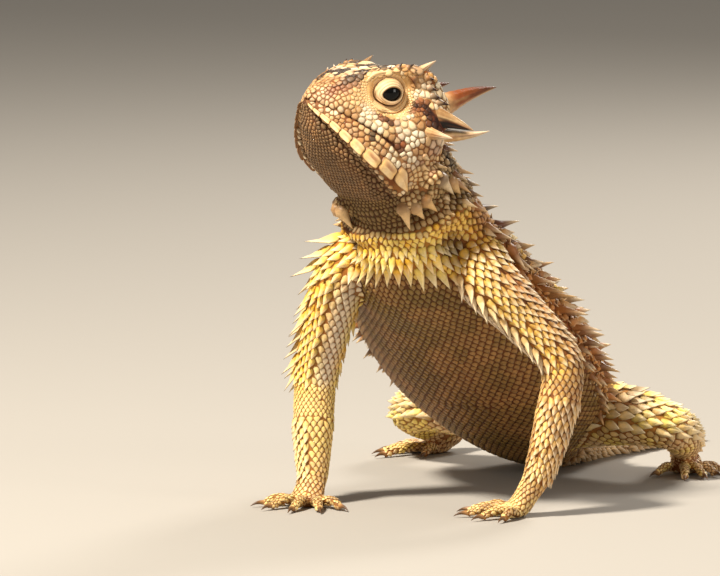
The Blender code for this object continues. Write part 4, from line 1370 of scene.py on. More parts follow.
@dataclass
class Scatter:
    """Irregular scales over stretches of skin, each with its own room and evened out among its neighbours."""

    skin: Skin
    rng: np.random.Generator
    moves: int = 2  # rounds that even the places out

    def __post_init__(self) -> None:
        """Finds the part, the place along it and the angle round it of every point of the skin."""
        self.part, self.along, self.angle = self.skin.plan.locate(self.skin.points)

    def spread(self, chosen: Array, room: Array, taken: Array, reach: Array) -> tuple[Array, Array]:
        """Picks skin points that keep their room, in a shuffled order, then moves each to its cell's middle.

        Args:
            chosen: mask of the skin's points that may be picked.
            room: distance that each skin point keeps, in millimetres.
            taken: places that are taken already.
            reach: room round those, in metres.

        Returns:
            Roots in body coordinates, and the room of each in metres.
        """
        points, room = self.skin.points[chosen], room[chosen] * MM
        tree = tree_of(points)
        free = np.ones(len(points), bool)
        for place, far in zip(taken, reach):
            for _, number, _ in tree.find_range(Vector(place), far):
                free[number] = False
        picked = []
        for number in self.rng.permutation(len(points)):
            if free[number]:
                picked.append(number)
                for _, other, _ in tree.find_range(Vector(points[number]), room[number]):
                    free[other] = False
        centres = np.concatenate([points[picked], taken])
        moving = len(picked)
        for _ in range(self.moves):
            cells = tree_of(centres)
            owner = np.array([cells.find(Vector(place))[1] for place in points])
            count = np.bincount(owner, minlength=len(centres))[:moving, None]
            sums = [np.bincount(owner, points[:, k], len(centres))[:moving] for k in range(3)]
            means = np.stack(sums, axis=-1) / np.maximum(count, 1)
            centres[:moving] = np.where(count > 0, means, centres[:moving])
        return centres[:moving], room[picked]

    def seeds(self, chosen: Array, room: Array, form: Form, group: str, taken: Seeds) -> Seeds:
        """Seeds of one form over the chosen skin points, clear of the seeds that are there.

        Args:
            chosen: mask of the skin's points.
            room: distance that each skin point keeps, in millimetres.
            form: form of the scales.
            group: piece that they belong to.
            taken: seeds that are there.

        Returns:
            The new seeds.
        """
        root, own = self.spread(chosen, room, taken.root, taken.size * 1.25)
        place, normal, _ = self.skin.land(root)
        part, along, angle = self.skin.plan.locate(place)
        tail = BODY.frame(np.clip(along, 0, 115) * MM)[3]
        way = np.where((part == "head")[:, None], HEAD.back, tail)
        uv = np.column_stack([np.clip(along / 120, 0, 1), angle / 360]) * 0.96 + 0.02
        return Seeds.make(place, way, normal, 0.72 * own, form, 1, uv, group)


@dataclass(frozen=True)
class HeadScales:
    """Scales of the head: labials in rows, irregular ones with their own size by region, and the throat.

    Attributes:
        throat_lines: lines of the head that the throat's scales lie between.
        throat: first and last place behind the snout and spacing at both ends of each field of the throat.
        rows: line of the head, first and last place behind the snout, count, radius and form of each row.
    """

    throat_lines: tuple[float, float] = (5.3, 8.7)
    throat: tuple[tuple[float, ...], ...] = (
        (0.5, 3.4, 0.56, 0.6),
        (3.4, 8.0, 0.62, 0.66),
        (8.0, 20.6, 0.66, 0.74),
    )
    rows: tuple[tuple, ...] = (
        (3.80, 0.6, 13.6, 15, 0.52, Form.PLATE),
        (4.19, 0.7, 12.4, 15, 0.42, Form.PLATE),
        (4.47, 1.4, 13.4, 14, 0.46, Form.BEAD),
        (1.22, 2.2, 10.6, 10, 0.62, Form.PLATE),
    )

    def seeds(self, scatter: Scatter) -> list[Seeds]:
        """All seeds of the head.

        Args:
            scatter: source of the irregular ones.

        Returns:
            Sets of seeds.
        """
        rows = Seeds.join([self.row(side, *row) for side in (1, -1) for row in self.rows])
        points = scatter.skin.points
        y, line = HEAD.where(points)
        room = self.room(points, y, line)
        local = HEAD.folded(points)
        chosen = (scatter.part == "head") & (points @ HEAD.back > SNOUT @ HEAD.back * MM - 3 * MM)
        chosen &= (line < np.interp(y, [0, 6, 15], [4.82, 4.80, 4.55])) | (y > 17.3) & (line < 5.3)
        chosen &= Eyes.distance(local) > 2.4
        mouth = np.interp(local[:, 1], *np.array(MOUTH_LINE).T)
        chosen &= (np.abs(local[:, 2] - mouth) > 0.3) | (local[:, 1] > MOUTH_CORNER) | (line < 3)
        for root, tip, wide, *_ in HORNS.values():
            axis = unit(np.array(tip) - root)
            offset = local - root
            reach = offset @ axis
            chosen &= (np.linalg.norm(offset - reach[:, None] * axis, axis=1) > wide * 0.8) | (reach < -2.5)
        crown = chosen & (line < 1.1)
        top = scatter.seeds(crown, room, Form.PLATE, "scales_head", rows)
        flank = scatter.seeds(chosen & ~crown, room, Form.BEAD, "scales_head", Seeds.join([rows, top]))
        start, end = (line * 360 / 14 for line in self.throat_lines)
        throat = [Field("head", "scales_throat", first, last, start, end, *pitches, Form.FINE)
                  for first, last, *pitches in self.throat]
        return [rows, top, flank] + [patch.seeds(HEAD, scatter.rng) for patch in throat]

    @staticmethod
    def room(points: Array, y: Array, line: Array) -> Array:
        """Room of the head's scales: small at snout and eye, larger back on crown and cheek.

        Args:
            points: body points on the head.
            y: their places behind the snout in millimetres.
            line: numbers of their lines.

        Returns:
            The distance in millimetres that each keeps.
        """
        size = np.interp(y, [0, 3, 6, 9, 12, 21], [0.50, 0.58, 0.72, 0.92, 1.02, 1.02])
        size = size * np.interp(line, [0, 1, 1.6, 2.6, 3.3, 4, 7], [1.3, 1.15, 0.85, 0.85, 1.05, 0.9, 0.8])
        size = size * (1 - 0.38 * ramp(11.5, 13.5, y) * ramp(3.1, 3.6, line))
        size = size * (0.40 + 0.60 * ramp(2.8, 4.6, Eyes.distance(HEAD.folded(points))))
        stripe = bump(line, 2.6, 0.35) * ramp(9.3, 10.2, y) * ramp(19.0, 17.5, y)
        size = size * (1 - 0.35 * stripe)
        return size * (0.70 + 0.60 * noise(points, 1.5, 3))

    @staticmethod
    def row(side: int, line: float, first: float, last: float, count: int, size: float, form: Form) -> Seeds:
        """Seeds of one row along a line of the head.

        Args:
            side: 1 for left and -1 for right.
            line: number of the line.
            first: first place behind the snout.
            last: last place.
            count: number of scales.
            size: radius of a scale in millimetres.
            form: form of the scales.

        Returns:
            The seeds.
        """
        y = np.linspace(first, last, count)
        root = HEAD.on_line(y, np.full(count, line), side)
        uv = np.column_stack([y / 24 + 0.02, np.full(count, 0.5 + side * line / 16)])
        along = HEAD.direction(y * MM, np.full(count, side * line / HEAD.sides * 2 * math.pi))
        sizes = size * MM * np.interp(y, [0, 3, 14], [0.8, 1.0, 1.15])
        return Seeds.make(root, along, HEAD.outward(y * MM, root), sizes, form, 5, uv, "scales_head")


@dataclass(frozen=True)
class JawPlates:
    """Plates that edge the lower jaw, free below, and grow towards a large pointed one at its corner."""

    edges: tuple[float, ...] = (0.35, 1.1, 2.0, 3.25, 4.6, 6.2, 8.2, 10.9, 13.9, 17.2)
    sides: int = 32
    rings: tuple[float, ...] = (0.12, 0.4, 0.65, 0.82, 0.93, 1.0, 0.98, 0.9)
    heights: tuple[float, ...] = (0.46, 0.44, 0.40, 0.34, 0.26, 0.12, -0.05, -0.5)
    pointed: int = 8  # number of the pointed plate
    rusty: tuple[int, ...] = (6, 7)  # numbers of the plates with a rust patch

    def shape(self, palette: Palette) -> Shape:
        """All plates of both sides: rounded boxes in place behind the snout and line, raised off the head.

        Args:
            palette: paints of the animal.

        Returns:
            The joined shape with its colours and patches.
        """
        spans = list(zip(self.edges[:-1], self.edges[1:]))
        return Shape.join([
            self.plate(side, number, *span, palette) for side in (1, -1) for number, span in enumerate(spans)
        ])

    def plate(self, side: int, number: int, first: float, last: float, palette: Palette) -> Shape:
        """One plate.

        Args:
            side: 1 for left and -1 for right.
            number: its number from the chin.
            first: its front edge behind the snout.
            last: its rear edge.
            palette: paints of the animal.

        Returns:
            The shape with its colours and patch.
        """
        cos, sin = np.cos(around(self.sides))[None], np.sin(around(self.sides))[None]
        rho, height = np.array(self.rings)[:, None], np.array(self.heights)[:, None]
        box = (np.abs(cos) ** 6 + np.abs(sin) ** 6) ** (-1 / 6)
        middle, half = (first + last) / 2, (last - first) / 2
        line = np.interp(middle, [0, 6, 10, 15.5], [5.0, 5.0, 4.9, 4.66])
        tall = np.interp(middle, [0.5, 6, 15], [0.17, 0.23, 0.29])
        sharp = number == self.pointed
        pointed = ramp(-0.3, 1.0, cos * box) * (0.9 if sharp else 0.12)
        y = middle + half * rho * box * cos
        at = line + tall * rho * box * sin * (1 - pointed) + 0.10 * pointed * rho
        inside = np.clip(y, HEAD_START, HEAD_LENGTH)
        root = HEAD.on_line(inside, at, side)
        out = HEAD.outward(inside.ravel() * MM, root.reshape(-1, 3))
        low = ramp(0.1, 0.9, sin) * ramp(0.5, 0.95, rho) * (rho > 0.5)
        rise = height + 0.42 * low * (height > -0.3)
        rise = rise + 0.10 * np.maximum(cos, 0) * rho + (0.9 * pointed * rho if sharp else 0)
        shape = Shape.grid(root + out.reshape(root.shape) * (rise * MM)[..., None]).turned_out()
        rust = ramp(0.35, -0.7, sin) * (0.7 if number in self.rusty else 0.3) * ramp(1.0, 0.3, rho)
        shape.colour = Shape.ended(layered(
            mix(palette.gold, palette.ivory, np.broadcast_to(0.45 - 0.4 * rho * np.abs(cos), rise.shape)),
            (palette.rust, rust),
            # Painted shade: each plate turns dark rust at its edge, where it meets the skin and its
            # neighbours.
            (palette.rust * 0.4, np.broadcast_to(ramp(0.82, 1.0, rho) * 0.9, rise.shape)),
        ))
        uv = np.stack([y / 24 + 0.02, 0.5 + side * (0.12 + (at - 4.2) / 4)], -1).reshape(-1, 2)
        shape.uv = np.concatenate([uv, uv[:1], uv[-1:]])
        return shape


@dataclass(frozen=True)
class BodyScales:
    """Scales of neck, collar, belly, back, tail, limbs and feet.

    Attributes:
        fields: fields of the body.
        arm_left: fields of the left arm with angles as on the right: 0 back, 90 outside, 180 front.
        arm_right: fields of the right arm.
        legs: fields of both legs.
    """

    fields: tuple[Field, ...] = (
        Field("body", "scales_throat", 0.0, 9.5, 215, 325, 0.66, 0.72, Form.FINE, 1),
        Field("body", "scales_throat", 9.5, 13.0, 205, 335, 0.72, 0.84, Form.FINE, 1),
        Field("body", "scales_collar", 13.0, 14.7, 195, 345, 0.80, 1.00, Form.SHINGLE, 2, 0.75, 3.0),
        Field("body", "scales_collar", 14.7, 15.9, 198, 342, 1.05, 1.20, Form.KEEL, 3, 0.66, 4.0),
        Field("body", "scales_collar", 15.9, 17.1, 201, 339, 1.30, 1.40, Form.COLLAR, 4, 0.62, 5.0),
        Field("body", "scales_collar", 17.1, 18.0, 204, 336, 1.50, 1.60, Form.HACKLE, 5, 0.60, 6.0),
        Field("body", "scales_belly", 18.2, 50.0, 188, 352, 1.08, 1.12, Form.BELLY, 1),
        Field("body", "scales_belly", 50.0, 78.0, 188, 352, 1.08, 1.08, Form.BELLY, 1),
        Field("body", "scales_tail", 77.0, 96.0, 0, 360, 1.25, 1.1, Form.KEEL, 1),
        Field("body", "scales_tail", 96.0, 116.0, 0, 360, 1.0, 0.7, Form.KEEL, 1),
    )
    arm_left: tuple[tuple, ...] = (
        (3.0, 22.0, 184, 206, 1.5, 1.5, Form.HACKLE, 4, 0.72),
        (3.0, 22.0, 60, 184, 1.35, 1.3, Form.KEEL, 3, 0.64),
        (3.0, 22.0, 206, 420, 0.95, 1.0, Form.SHINGLE, 2, 0.78),
        (22.0, 27.0, 0, 360, 0.95, 1.0, Form.SHINGLE, 2, 0.75),
        (27.0, 42.0, 30, 215, 1.35, 1.1, Form.KEEL, 2, 0.66),
        (27.0, 42.0, 215, 390, 1.0, 0.9, Form.SHINGLE, 2, 0.78),
    )
    arm_right: tuple[tuple, ...] = (
        (3.0, 23.0, 78, 118, 1.8, 1.6, Form.HACKLE, 4, 0.66),
        (3.0, 23.0, 118, 185, 1.4, 1.25, Form.KEEL, 3, 0.66),
        (3.0, 23.0, 185, 275, 1.15, 1.05, Form.SHINGLE, 2, 0.78),
        (3.0, 23.0, 275, 438, 1.3, 1.3, Form.KEEL, 2, 0.68),
        (23.0, 28.0, 0, 360, 0.75, 0.8, Form.SHINGLE, 2, 0.72),
        (28.0, 42.0, 30, 190, 1.3, 1.1, Form.KEEL, 2, 0.66),
        (28.0, 42.0, 190, 390, 1.05, 0.9, Form.SHINGLE, 2, 0.78),
    )
    legs: tuple[tuple, ...] = (
        (4.0, 26.0, -75, 110, 1.6, 1.5, Form.KEEL, 2, 0.66),
        (4.0, 26.0, 110, 285, 1.05, 1.0, Form.BELLY, 1, 0.85),
        (26.0, 44.0, -110, 120, 1.3, 1.0, Form.KEEL, 2, 0.66),
        (26.0, 44.0, 120, 250, 0.95, 0.9, Form.BELLY, 1, 0.85),
    )
    filler: float = 0.8  # room of the scales that fill what the fields of the limbs leave bare

    def seeds(self, plan: Plan, scatter: Scatter) -> list[Seeds]:
        """All seeds of body, limbs and feet.

        Args:
            plan: surfaces that the fields lie on.
            scatter: source of the irregular ones.

        Returns:
            Sets of seeds.
        """
        rng = scatter.rng
        sets = [patch.seeds(BODY, rng) for patch in self.fields]
        sets += self.loose(scatter, Seeds.join(sets))
        for name, tube in plan.limbs.items():
            side = LIMBS[name][2]
            for first, last, start, end, *rest in getattr(self, name, self.legs):
                last = min(last, tube.length / MM)
                patch = Field(name, f"scales_{name}", first, last, -side * start, -side * end, *rest)
                sets.append(patch.seeds(tube, rng))
        for name, palm in plan.feet.palms.items():
            rows = [(palm, 0.5, 0, 360, 0.85, 0.75)]
            rows += [(digit, 0.3, -15, 195, 0.72, 0.6) for digit in plan.feet.digits[name]]
            for tube, first, *rest in rows:
                patch = Field(name, "scales_feet", first, tube.length / MM, *rest, Form.SHINGLE, 2)
                sets.append(patch.seeds(tube, rng))
        held = np.isin(scatter.part, [*plan.limbs, *plan.feet.palms]) & (scatter.skin.points[:, 2] > 0.5 * MM)
        room = np.full(len(held), self.filler)
        sets.append(scatter.seeds(held, room, Form.SHINGLE, "scales_feet", Seeds.join(sets)))
        return sets

    @staticmethod
    def loose(scatter: Scatter, taken: Seeds) -> list[Seeds]:
        """Grains of neck and back, with larger keeled ones among them, round the fields that are there.

        Args:
            scatter: source of the seeds.
            taken: seeds of the fields.

        Returns:
            Sets of seeds.
        """
        s, off, points = scatter.along, off_belly(scatter.angle), scatter.skin.points
        trunk = (scatter.part == "body") & (s > -1.5) & (s < 77)
        throat = np.interp(s, [0, 9, 13, 14], [55, 60, 66, 10])
        neck = trunk & (s < 13.2 + 3.0 * (off / 75) ** 2) & (off > throat)
        back = trunk & (s >= 14.2) & (off > np.interp(s, [14, 18, 30], [68, 70, 82])) & ~neck
        grain = 0.62 + 0.30 * noise(points, 2.0, 31)
        grains = scatter.seeds(neck, grain, Form.GRAIN, "scales_neck", taken)
        large = scatter.seeds(back, 1.9 + 1.2 * noise(points, 3.0, 33), Form.POINTED, "scales_back", taken)
        large.size = large.size * 0.52
        large.rank = large.rank + 1
        small = 0.80 + 0.35 * noise(points, 2.4, 35)
        held = Seeds.join([taken, large])
        return [grains, large, scatter.seeds(back, small, Form.GRAIN, "scales_back", held)]


@dataclass(frozen=True)
class Row:
    """A row of spines along a tube: angle, first and last place, count, lengths at both ends, width, lean."""

    angle: float
    first: float
    last: float
    count: int
    length: float
    end_length: float
    width: float = 1.5
    lean: float = 0.45


@dataclass
class Spines:
    """Thorns of back, flanks, neck, tail and head, each with a keel, a slight bend and a pale point.

    Attributes:
        body_rows: rows of the left half of the body, which are mirrored to the right.
        neck_thorns: thorns of the neck's clusters: place, degrees off the belly, length, width and lean.
        head_thorns: thorns of the head's sides: place behind the snout, line, length, width and lean.
        satellites: small thorns round each large one.
        sides: points of a ring.
        stations: shares of the length that the rings lie at.
        widths: shares of the root's width there.
        rows: the thorns that have been added.
    """

    body_rows: tuple[Row, ...] = (
        Row(76, 17.0, 74.0, 12, 2.6, 2.0, 1.6),
        Row(57, 19.5, 71.0, 10, 4.0, 2.6, 2.3, 0.40),
        Row(38, 21.5, 74.0, 10, 3.8, 2.4, 2.2, 0.42),
        Row(20, 23.0, 66.0, 10, 3.7, 2.4, 2.1, 0.42),
        Row(3, 24.0, 72.0, 21, 3.8, 3.0, 1.7, 0.32),
        Row(-13, 27.0, 67.0, 19, 2.3, 1.9, 1.3, 0.35),
        Row(5, 79.0, 113.0, 17, 2.6, 0.9, 1.3, 0.5),
        Row(52, 79.0, 108.0, 12, 2.0, 0.8, 1.2, 0.5),
        Row(76, 3.0, 13, 5, 2.2, 2.3, 1.4),
        Row(56, 3.0, 13, 5, 2.4, 2.6, 1.5),
        Row(34, 4.5, 13, 4, 2.6, 2.6, 1.6),
        Row(14, 9.4, 13.4, 3, 2.6, 2.2, 1.5),
        Row(6, 15.0, 22.0, 4, 2.4, 3.4, 1.8),
    )
    neck_thorns: tuple[tuple[float, ...], ...] = (
        (8.6, 76, 4.0, 2.8, 0.62),
        (10.6, 92, 3.2, 2.3, 0.62),
        (9.5, 34, 2.9, 2.2, 0.60),
        (9.9, 43, 3.2, 2.3, 0.66),
        (9.7, 53, 3.0, 2.2, 0.68),
        (6.6, 84, 1.6, 1.2, 0.6),
        (12.9, 62, 1.5, 1.1, 0.6),
        (13.2, 82, 2.1, 1.3, 0.6),
        (11.8, 74, 1.4, 1.1, 0.6),
    )
    head_thorns: tuple[tuple[float, ...], ...] = (
        (4.4, 1.02, 0.6, 0.7, 0.4),
        (5.7, 1.05, 0.7, 0.75, 0.4),
        (6.9, 1.05, 0.8, 0.8, 0.4),
        (8.0, 1.05, 0.95, 0.9, 0.4),
        (9.1, 1.08, 1.1, 1.0, 0.4),
        (12.4, 1.45, 1.2, 1.0, 0.5),
        (13.3, 1.75, 1.5, 1.1, 0.5),
        (14.3, 1.95, 1.7, 1.2, 0.5),
        (15.4, 2.0, 1.9, 1.3, 0.5),
        (16.6, 3.7, 1.2, 1.1, 0.6),
        (17.4, 3.95, 1.3, 1.1, 0.6),
    )
    satellites: int = 5
    sides: int = 8
    stations: tuple[float, ...] = (-0.3, 0.0, 0.22, 0.5, 0.78)
    widths: tuple[float, ...] = (0.8, 1.0, 0.74, 0.46, 0.22)
    rows: list[tuple[Array, ...]] = field(default_factory=list)

    def add(self, tube: Tube | Head, s: Array, angle: Array, length: Array, width: float,
            lean: float) -> None:
        """Adds thorns at places of a tube.

        Args:
            tube: surface that they grow from.
            s: places along it in metres.
            angle: angles round it.
            length: lengths in millimetres.
            width: width of a thorn's root in millimetres.
            lean: 0 for straight out and 1 for flat along the skin.
        """
        root = tube.points(s, angle)
        n = len(root)
        values = (root, tube.direction(s, angle), tube.outward(s, root), np.asarray(length) * MM,
                  np.full(n, width * MM), np.full(n, lean))
        self.rows.append(values)

    def grow(self) -> None:
        """Adds the rows of the whole animal."""
        for row in self.body_rows:
            self.add_row(row, False)
            self.add_row(row, True)
        for s, off, length, width, lean in self.neck_thorns:
            for side in (1, -1):
                angle = np.array([math.radians(270 + side * off)])
                self.add(BODY, np.array([s * MM]), angle, np.array([length]), width, lean)
        for y, line, length, width, lean in self.head_thorns:
            for side in (1, -1):
                angle = np.array([side * line / HEAD.sides * 2 * math.pi])
                self.add(HEAD, np.array([y * MM]), angle, np.array([length]), width, lean)

    def add_row(self, row: Row, mirrored: bool) -> None:
        """Adds one row of the body.

        Args:
            row: its sizes.
            mirrored: whether it grows on the right side.
        """
        wave = np.sin(np.arange(row.count) * 2.4 + row.angle)
        s = (np.linspace(row.first, row.last, row.count) + 0.5 * wave) * MM
        angle = math.radians(row.angle) + 0.05 * np.cos(wave * 5)
        length = np.linspace(row.length, row.end_length, row.count) * (1 + 0.14 * np.cos(wave * 9))
        self.add(BODY, s, math.pi - angle if mirrored else angle, length, row.width, row.lean)

    def shape(self, skin: Skin, markings: Markings, rng: np.random.Generator) -> Shape:
        """All thorns: rings of an oval that shrinks to a point along an axis bent towards the tail.

        Args:
            skin: skin that the roots are set on.
            markings: colours of the roots.
            rng: source of small differences.

        Returns:
            The joined shape with its colours and patches.
        """
        root, along, outward, length, width, lean = (np.concatenate(v) for v in zip(*self.rows))
        place, normal, distance = skin.land(root)
        keep = (distance < 1.0 * MM) & (dot(normal, outward) > 0.2) & (place[:, 2] > 0.8 * MM)
        place, normal, along = place[keep], normal[keep], along[keep]
        length, width, lean = length[keep], width[keep], lean[keep]
        along = unit(along - dot(along, normal)[:, None] * normal)
        big = (length > 2.1 * MM) & (lean < 0.55)
        middle, tail, tall, wide = place[big], along[big], length[big], width[big]
        side = np.cross(normal[big], tail)
        for step in range(self.satellites):
            turn = step * 2 * math.pi / self.satellites + 0.5
            ray = tail * math.cos(turn) + side * math.sin(turn)
            own, skin_normal, _ = skin.land(middle + ray * (wide * 0.62)[:, None])
            place, normal = np.concatenate([place, own]), np.concatenate([normal, skin_normal])
            along = np.concatenate([along, unit(ray * 0.9 + tail * 0.6)])
            length, width = np.append(length, tall * 0.32), np.append(width, wide * 0.40)
            lean = np.append(lean, np.full(len(tall), 0.42))
        n = len(place)
        length, width = (v * rng.uniform(0.85, 1.15, n) for v in (length, width))
        lean = (lean + rng.normal(0, 0.04, n))[:, None]
        along = unit(along - dot(along, normal)[:, None] * normal)
        across = unit(np.cross(normal, along) + along * rng.normal(0, 0.08, n)[:, None])
        way = unit(normal * (1 - lean) + along * lean)
        over = unit(np.cross(way, across))
        over = over * np.sign(dot(over, normal))[:, None]
        turn, stations = around(self.sides), np.array(self.stations)
        t = stations[None, :, None, None]
        flare = 1 + 0.25 * np.exp(-np.maximum(stations, 0) * 9)
        half = (width[:, None] * 0.42 * self.widths * flare)[:, :, None, None]
        keel = 1 + 0.35 * np.cos(turn / 2 - math.pi / 4) ** 8
        ring = (np.cos(turn)[:, None] * across[:, None, None, :]
                + np.sin(turn)[:, None] * (over * 0.72)[:, None, None, :] * keel[:, None])
        bend = (length * 0.10)[:, None, None, None] * (t * t)
        axis = place[:, None, None, :] + way[:, None, None, :] * length[:, None, None, None] * t
        rings = axis + ring * half - over[:, None, None, :] * bend
        tip = place + way * length[:, None] - over * (length * 0.10)[:, None]
        foot = place - way * (length * 0.5)[:, None]
        points = np.concatenate([rings.reshape(n, -1, 3), foot[:, None], tip[:, None]], axis=1)
        part, s, angle = markings.plan.locate(place)
        colour = self.colours(markings, place, part, lean, rng)
        on_map = np.column_stack([s / 120, angle / 360]) * 0.9 + 0.05
        uv = patches(points, place, along, across, 2.2 * length, on_map)
        return Shape.copies(points, len(stations), self.sides, colour, uv)

    def colours(self, markings: Markings, place: Array, part: Array, lean: Array,
                rng: np.random.Generator) -> Array:
        """Colours of thorns: a warm root of the skin's colour, a pale point, painted shade on the underside,
        and dark points over the crown.

        Args:
            markings: colours by place.
            place: their roots.
            part: part of the animal that each grows on.
            lean: how far each leans.
            rng: source of small differences.

        Returns:
            The colour of each point of each thorn.
        """
        n, paints = len(place), markings.paint
        base = markings.colours(place)
        pale = mix(paints.gold, paints.ivory, rng.uniform(0.2, 0.9, n))
        warm = mix(base, paints.rust, np.full(n, 0.4)) * rng.uniform(0.4, 1.0, n)[:, None]
        share = np.append(np.repeat(self.stations, self.sides), (0.0, 1.0))[None]
        early = 0.5 * (lean > 0.55)
        warm = np.repeat(warm[:, None], share.size, axis=1)
        colour = mix(warm, pale[:, None], ramp(0.25, 0.85, share + early) * 0.8)
        # Painted shade: the underside of each thorn keeps 0.72 of its colour, its top side all of it.
        ridge = np.append(np.tile(np.sin(around(self.sides)), len(self.stations)), (0.0, 1.0))
        colour = colour * (0.72 + 0.28 * np.maximum(ridge, 0))[None, :, None]
        high = dot(place, HEAD.up) > dot(HEAD.place((0, 0, 9)), HEAD.up)
        dusk = ((part == "head") & high)[:, None, None]
        colour = np.where(dusk, mix(colour, paints.dark, ramp(0.0, 0.5, share)), colour)
        return colour * rng.uniform(0.85, 1.1, n)[:, None, None]


@dataclass
class Coat:
    """All scales of the animal, set on the skin, fitted to their neighbours and joined by region.

    Attributes:
        skin: skin that scales are set on.
        markings: colours by place.
        sides: points of a scale's outline.
        neighbours: scales that each one is fitted to.
    """

    skin: Skin
    markings: Markings
    sides: int = 10
    neighbours: int = 14

    def settle(self, seeds: Seeds) -> tuple[Seeds, Array]:
        """Seeds moved on to the skin, without those inside the flesh, on the soles or too near a higher rank.

        Args:
            seeds: all seeds.

        Returns:
            The seeds that stay and the skin's normals at them.
        """
        place, normal, distance = self.skin.land(seeds.root)
        keep = (distance < 0.9 * MM) & (dot(normal, seeds.outward) > 0.15) & (place[:, 2] > 0.25 * MM)
        seeds.root = place
        seeds, normal = seeds.take(keep), normal[keep]
        near, apart = self.near(seeds.root, 12)
        reach = 0.55 * (seeds.size[:, None] + seeds.size[near])
        close = (apart < reach) & (apart > 1e-9)
        free = np.ones(len(near), bool)
        stays = np.zeros(len(near), bool)
        for number in np.argsort(-seeds.rank, kind="stable"):
            if free[number]:
                stays[number] = True
                free[near[number][close[number]]] = False
        return seeds.take(stays), normal[stays]

    @staticmethod
    def near(points: Array, count: int) -> tuple[Array, Array]:
        """The numbers and distances of the nearest other points.

        Args:
            points: places, one row each.
            count: how many others.

        Returns:
            Their numbers and their distances, one row for each point.
        """
        tree = tree_of(points)
        found = [tree.find_n(Vector(place), count + 1)[1:] for place in points]
        return tuple(np.array([[hit[k] for hit in row] for row in found]) for k in (1, 2))

    def cells(self, seeds: Seeds, normal: Array, along: Array, across: Array) -> Array:
        """Radius of each scale in each direction, up to the line that shares the way to a neighbour by size.

        Args:
            seeds: settled seeds.
            normal: skin's normals.
            along: directions of the tips in the skin.
            across: directions across them.

        Returns:
            A radius for each scale and direction.
        """
        near, _ = self.near(seeds.root, self.neighbours)
        offset = seeds.root[near] - seeds.root[:, None]
        a = dot(offset, along[:, None])
        b = dot(offset, across[:, None])
        length = np.sqrt(a * a + b * b)
        share = seeds.size[:, None] / (seeds.size[:, None] + seeds.size[near])
        faces_off = dot(normal[near], normal[:, None]) < 0.1
        radius = np.repeat(seeds.size[:, None] * 1.3, self.sides, 1)
        for k, theta in enumerate(around(self.sides)):
            toward = (a * math.cos(theta) + b * math.sin(theta)) / np.maximum(length, 1e-9)
            limit = np.where((toward > 0.12) & ~faces_off, length * share / np.maximum(toward, 0.12), 1.0)
            radius[:, k] = np.minimum(radius[:, k], limit.min(1))
        return radius

    def shape(self, seeds: Seeds, normal: Array, radius: Array, rings: tuple[float, ...],
              rng: np.random.Generator) -> Shape:
        """Scales as low domes: rings of the outline shrink inwards as they rise, and tips draw out and lift.

        Args:
            seeds: settled seeds of one region, of forms with the same rings.
            normal: skin's normals.
            radius: outlines from cells().
            rings: shares of the outline that the rings lie at.
            rng: source of small differences.

        Returns:
            The joined shape with its colours and patches.
        """
        n = len(seeds.root)
        traits = np.array([astuple(form.value)[:8] for form in FORMS])[seeds.form]
        height, overlap, point, keel, lift, gap, _, _ = traits.T
        along = unit(seeds.along - dot(seeds.along, normal)[:, None] * normal)
        across = np.cross(normal, along)
        turn = around(self.sides)
        cos, sin = np.cos(turn)[None], np.sin(turn)[None]
        outline = radius * (1 - gap)[:, None]
        mean = outline.mean(1)
        side = outline[:, [2, 3, 7, 8]].mean(1)[:, None]
        drawn = (1 + overlap * rng.uniform(0.85, 1.15, n))[:, None]
        tip = np.clip(outline[:, :1], mean[:, None] * 0.9, mean[:, None] * 1.15) * drawn
        line = tip * side / (tip * np.abs(sin) + side * np.maximum(cos, 1e-3))
        sharp = outline + (np.minimum(outline * 1.5, line) - outline) * point[:, None]
        outline = np.where(cos > 0.1, sharp, outline)
        outline[:, 0] = tip[:, 0]
        lump = rng.uniform(0.75, 1.25, n)
        ridge = (np.abs(sin) < 0.1) * (1.0 + 0 * cos)
        lie = (seeds.root, along, across, normal)
        rows = []
        for share in rings:
            a, b = outline * share * cos, outline * share * sin
            reach = np.maximum(a, 0) / tip
            rise = height[:, None] * (1 - share**4) + lift[:, None] * reach**1.5
            rise = rise + keel[:, None] * ridge * (1 - share * 0.75)
            sink = -0.12 * (share > 0.99) * (1 - reach)
            rows.append(self.place(lie, a, b, mean[:, None] * (rise * lump[:, None] + sink)))
        centre = np.zeros((n, 1))
        for level in (mean * (height + keel) * lump, -0.4 * mean):
            rows.append(self.place(lie, centre, centre, level[:, None]))
        points = np.concatenate(rows, axis=1)
        uv = patches(points, seeds.root, along, across, 2.4 * tip[:, 0], seeds.uv)
        return Shape.copies(points, len(rings), self.sides, self.colours(seeds, rings, rng), uv)

    def colours(self, seeds: Seeds, rings: tuple[float, ...], rng: np.random.Generator) -> Array:
        """Colours of scales: the markings at their roots, paler at the tip, with painted shade darker to the
        rim and under the scale.

        Args:
            seeds: settled seeds.
            rings: shares of the outline that the rings lie at.
            rng: source of small differences.

        Returns:
            The colour of each point of each scale.
        """
        pale, rim = np.array([(form.value.pale, form.value.rim) for form in FORMS])[seeds.form].T
        base = self.markings.colours(seeds.root) * rng.uniform(0.80, 1.12, len(seeds.root))[:, None]
        ivory = self.markings.paint.ivory
        colour = np.repeat(base[:, None], len(rings) * self.sides + 2, axis=1)
        tips = np.maximum(np.cos(around(self.sides)), 0) ** 2
        for number, share in enumerate(rings):
            ring = slice(number * self.sides, (number + 1) * self.sides)
            # Painted shade: rings past 0.55 of the outline darken towards the rim, less at a pale tip.
            shade = 1 - (1 - rim)[:, None] * max(share - 0.55, 0) / 0.45
            colour[:, ring] *= (shade + (1 - shade) * tips * pale[:, None])[..., None]
            colour[:, ring] = mix(colour[:, ring], ivory, pale[:, None] * tips[None] * share)
        colour[:, -2] = mix(colour[:, -2], ivory, pale * 0.2)
        # Painted shade under the scale: the bottom pole keeps 0.4 of the colour.
        colour[:, -1] *= 0.4
        return colour

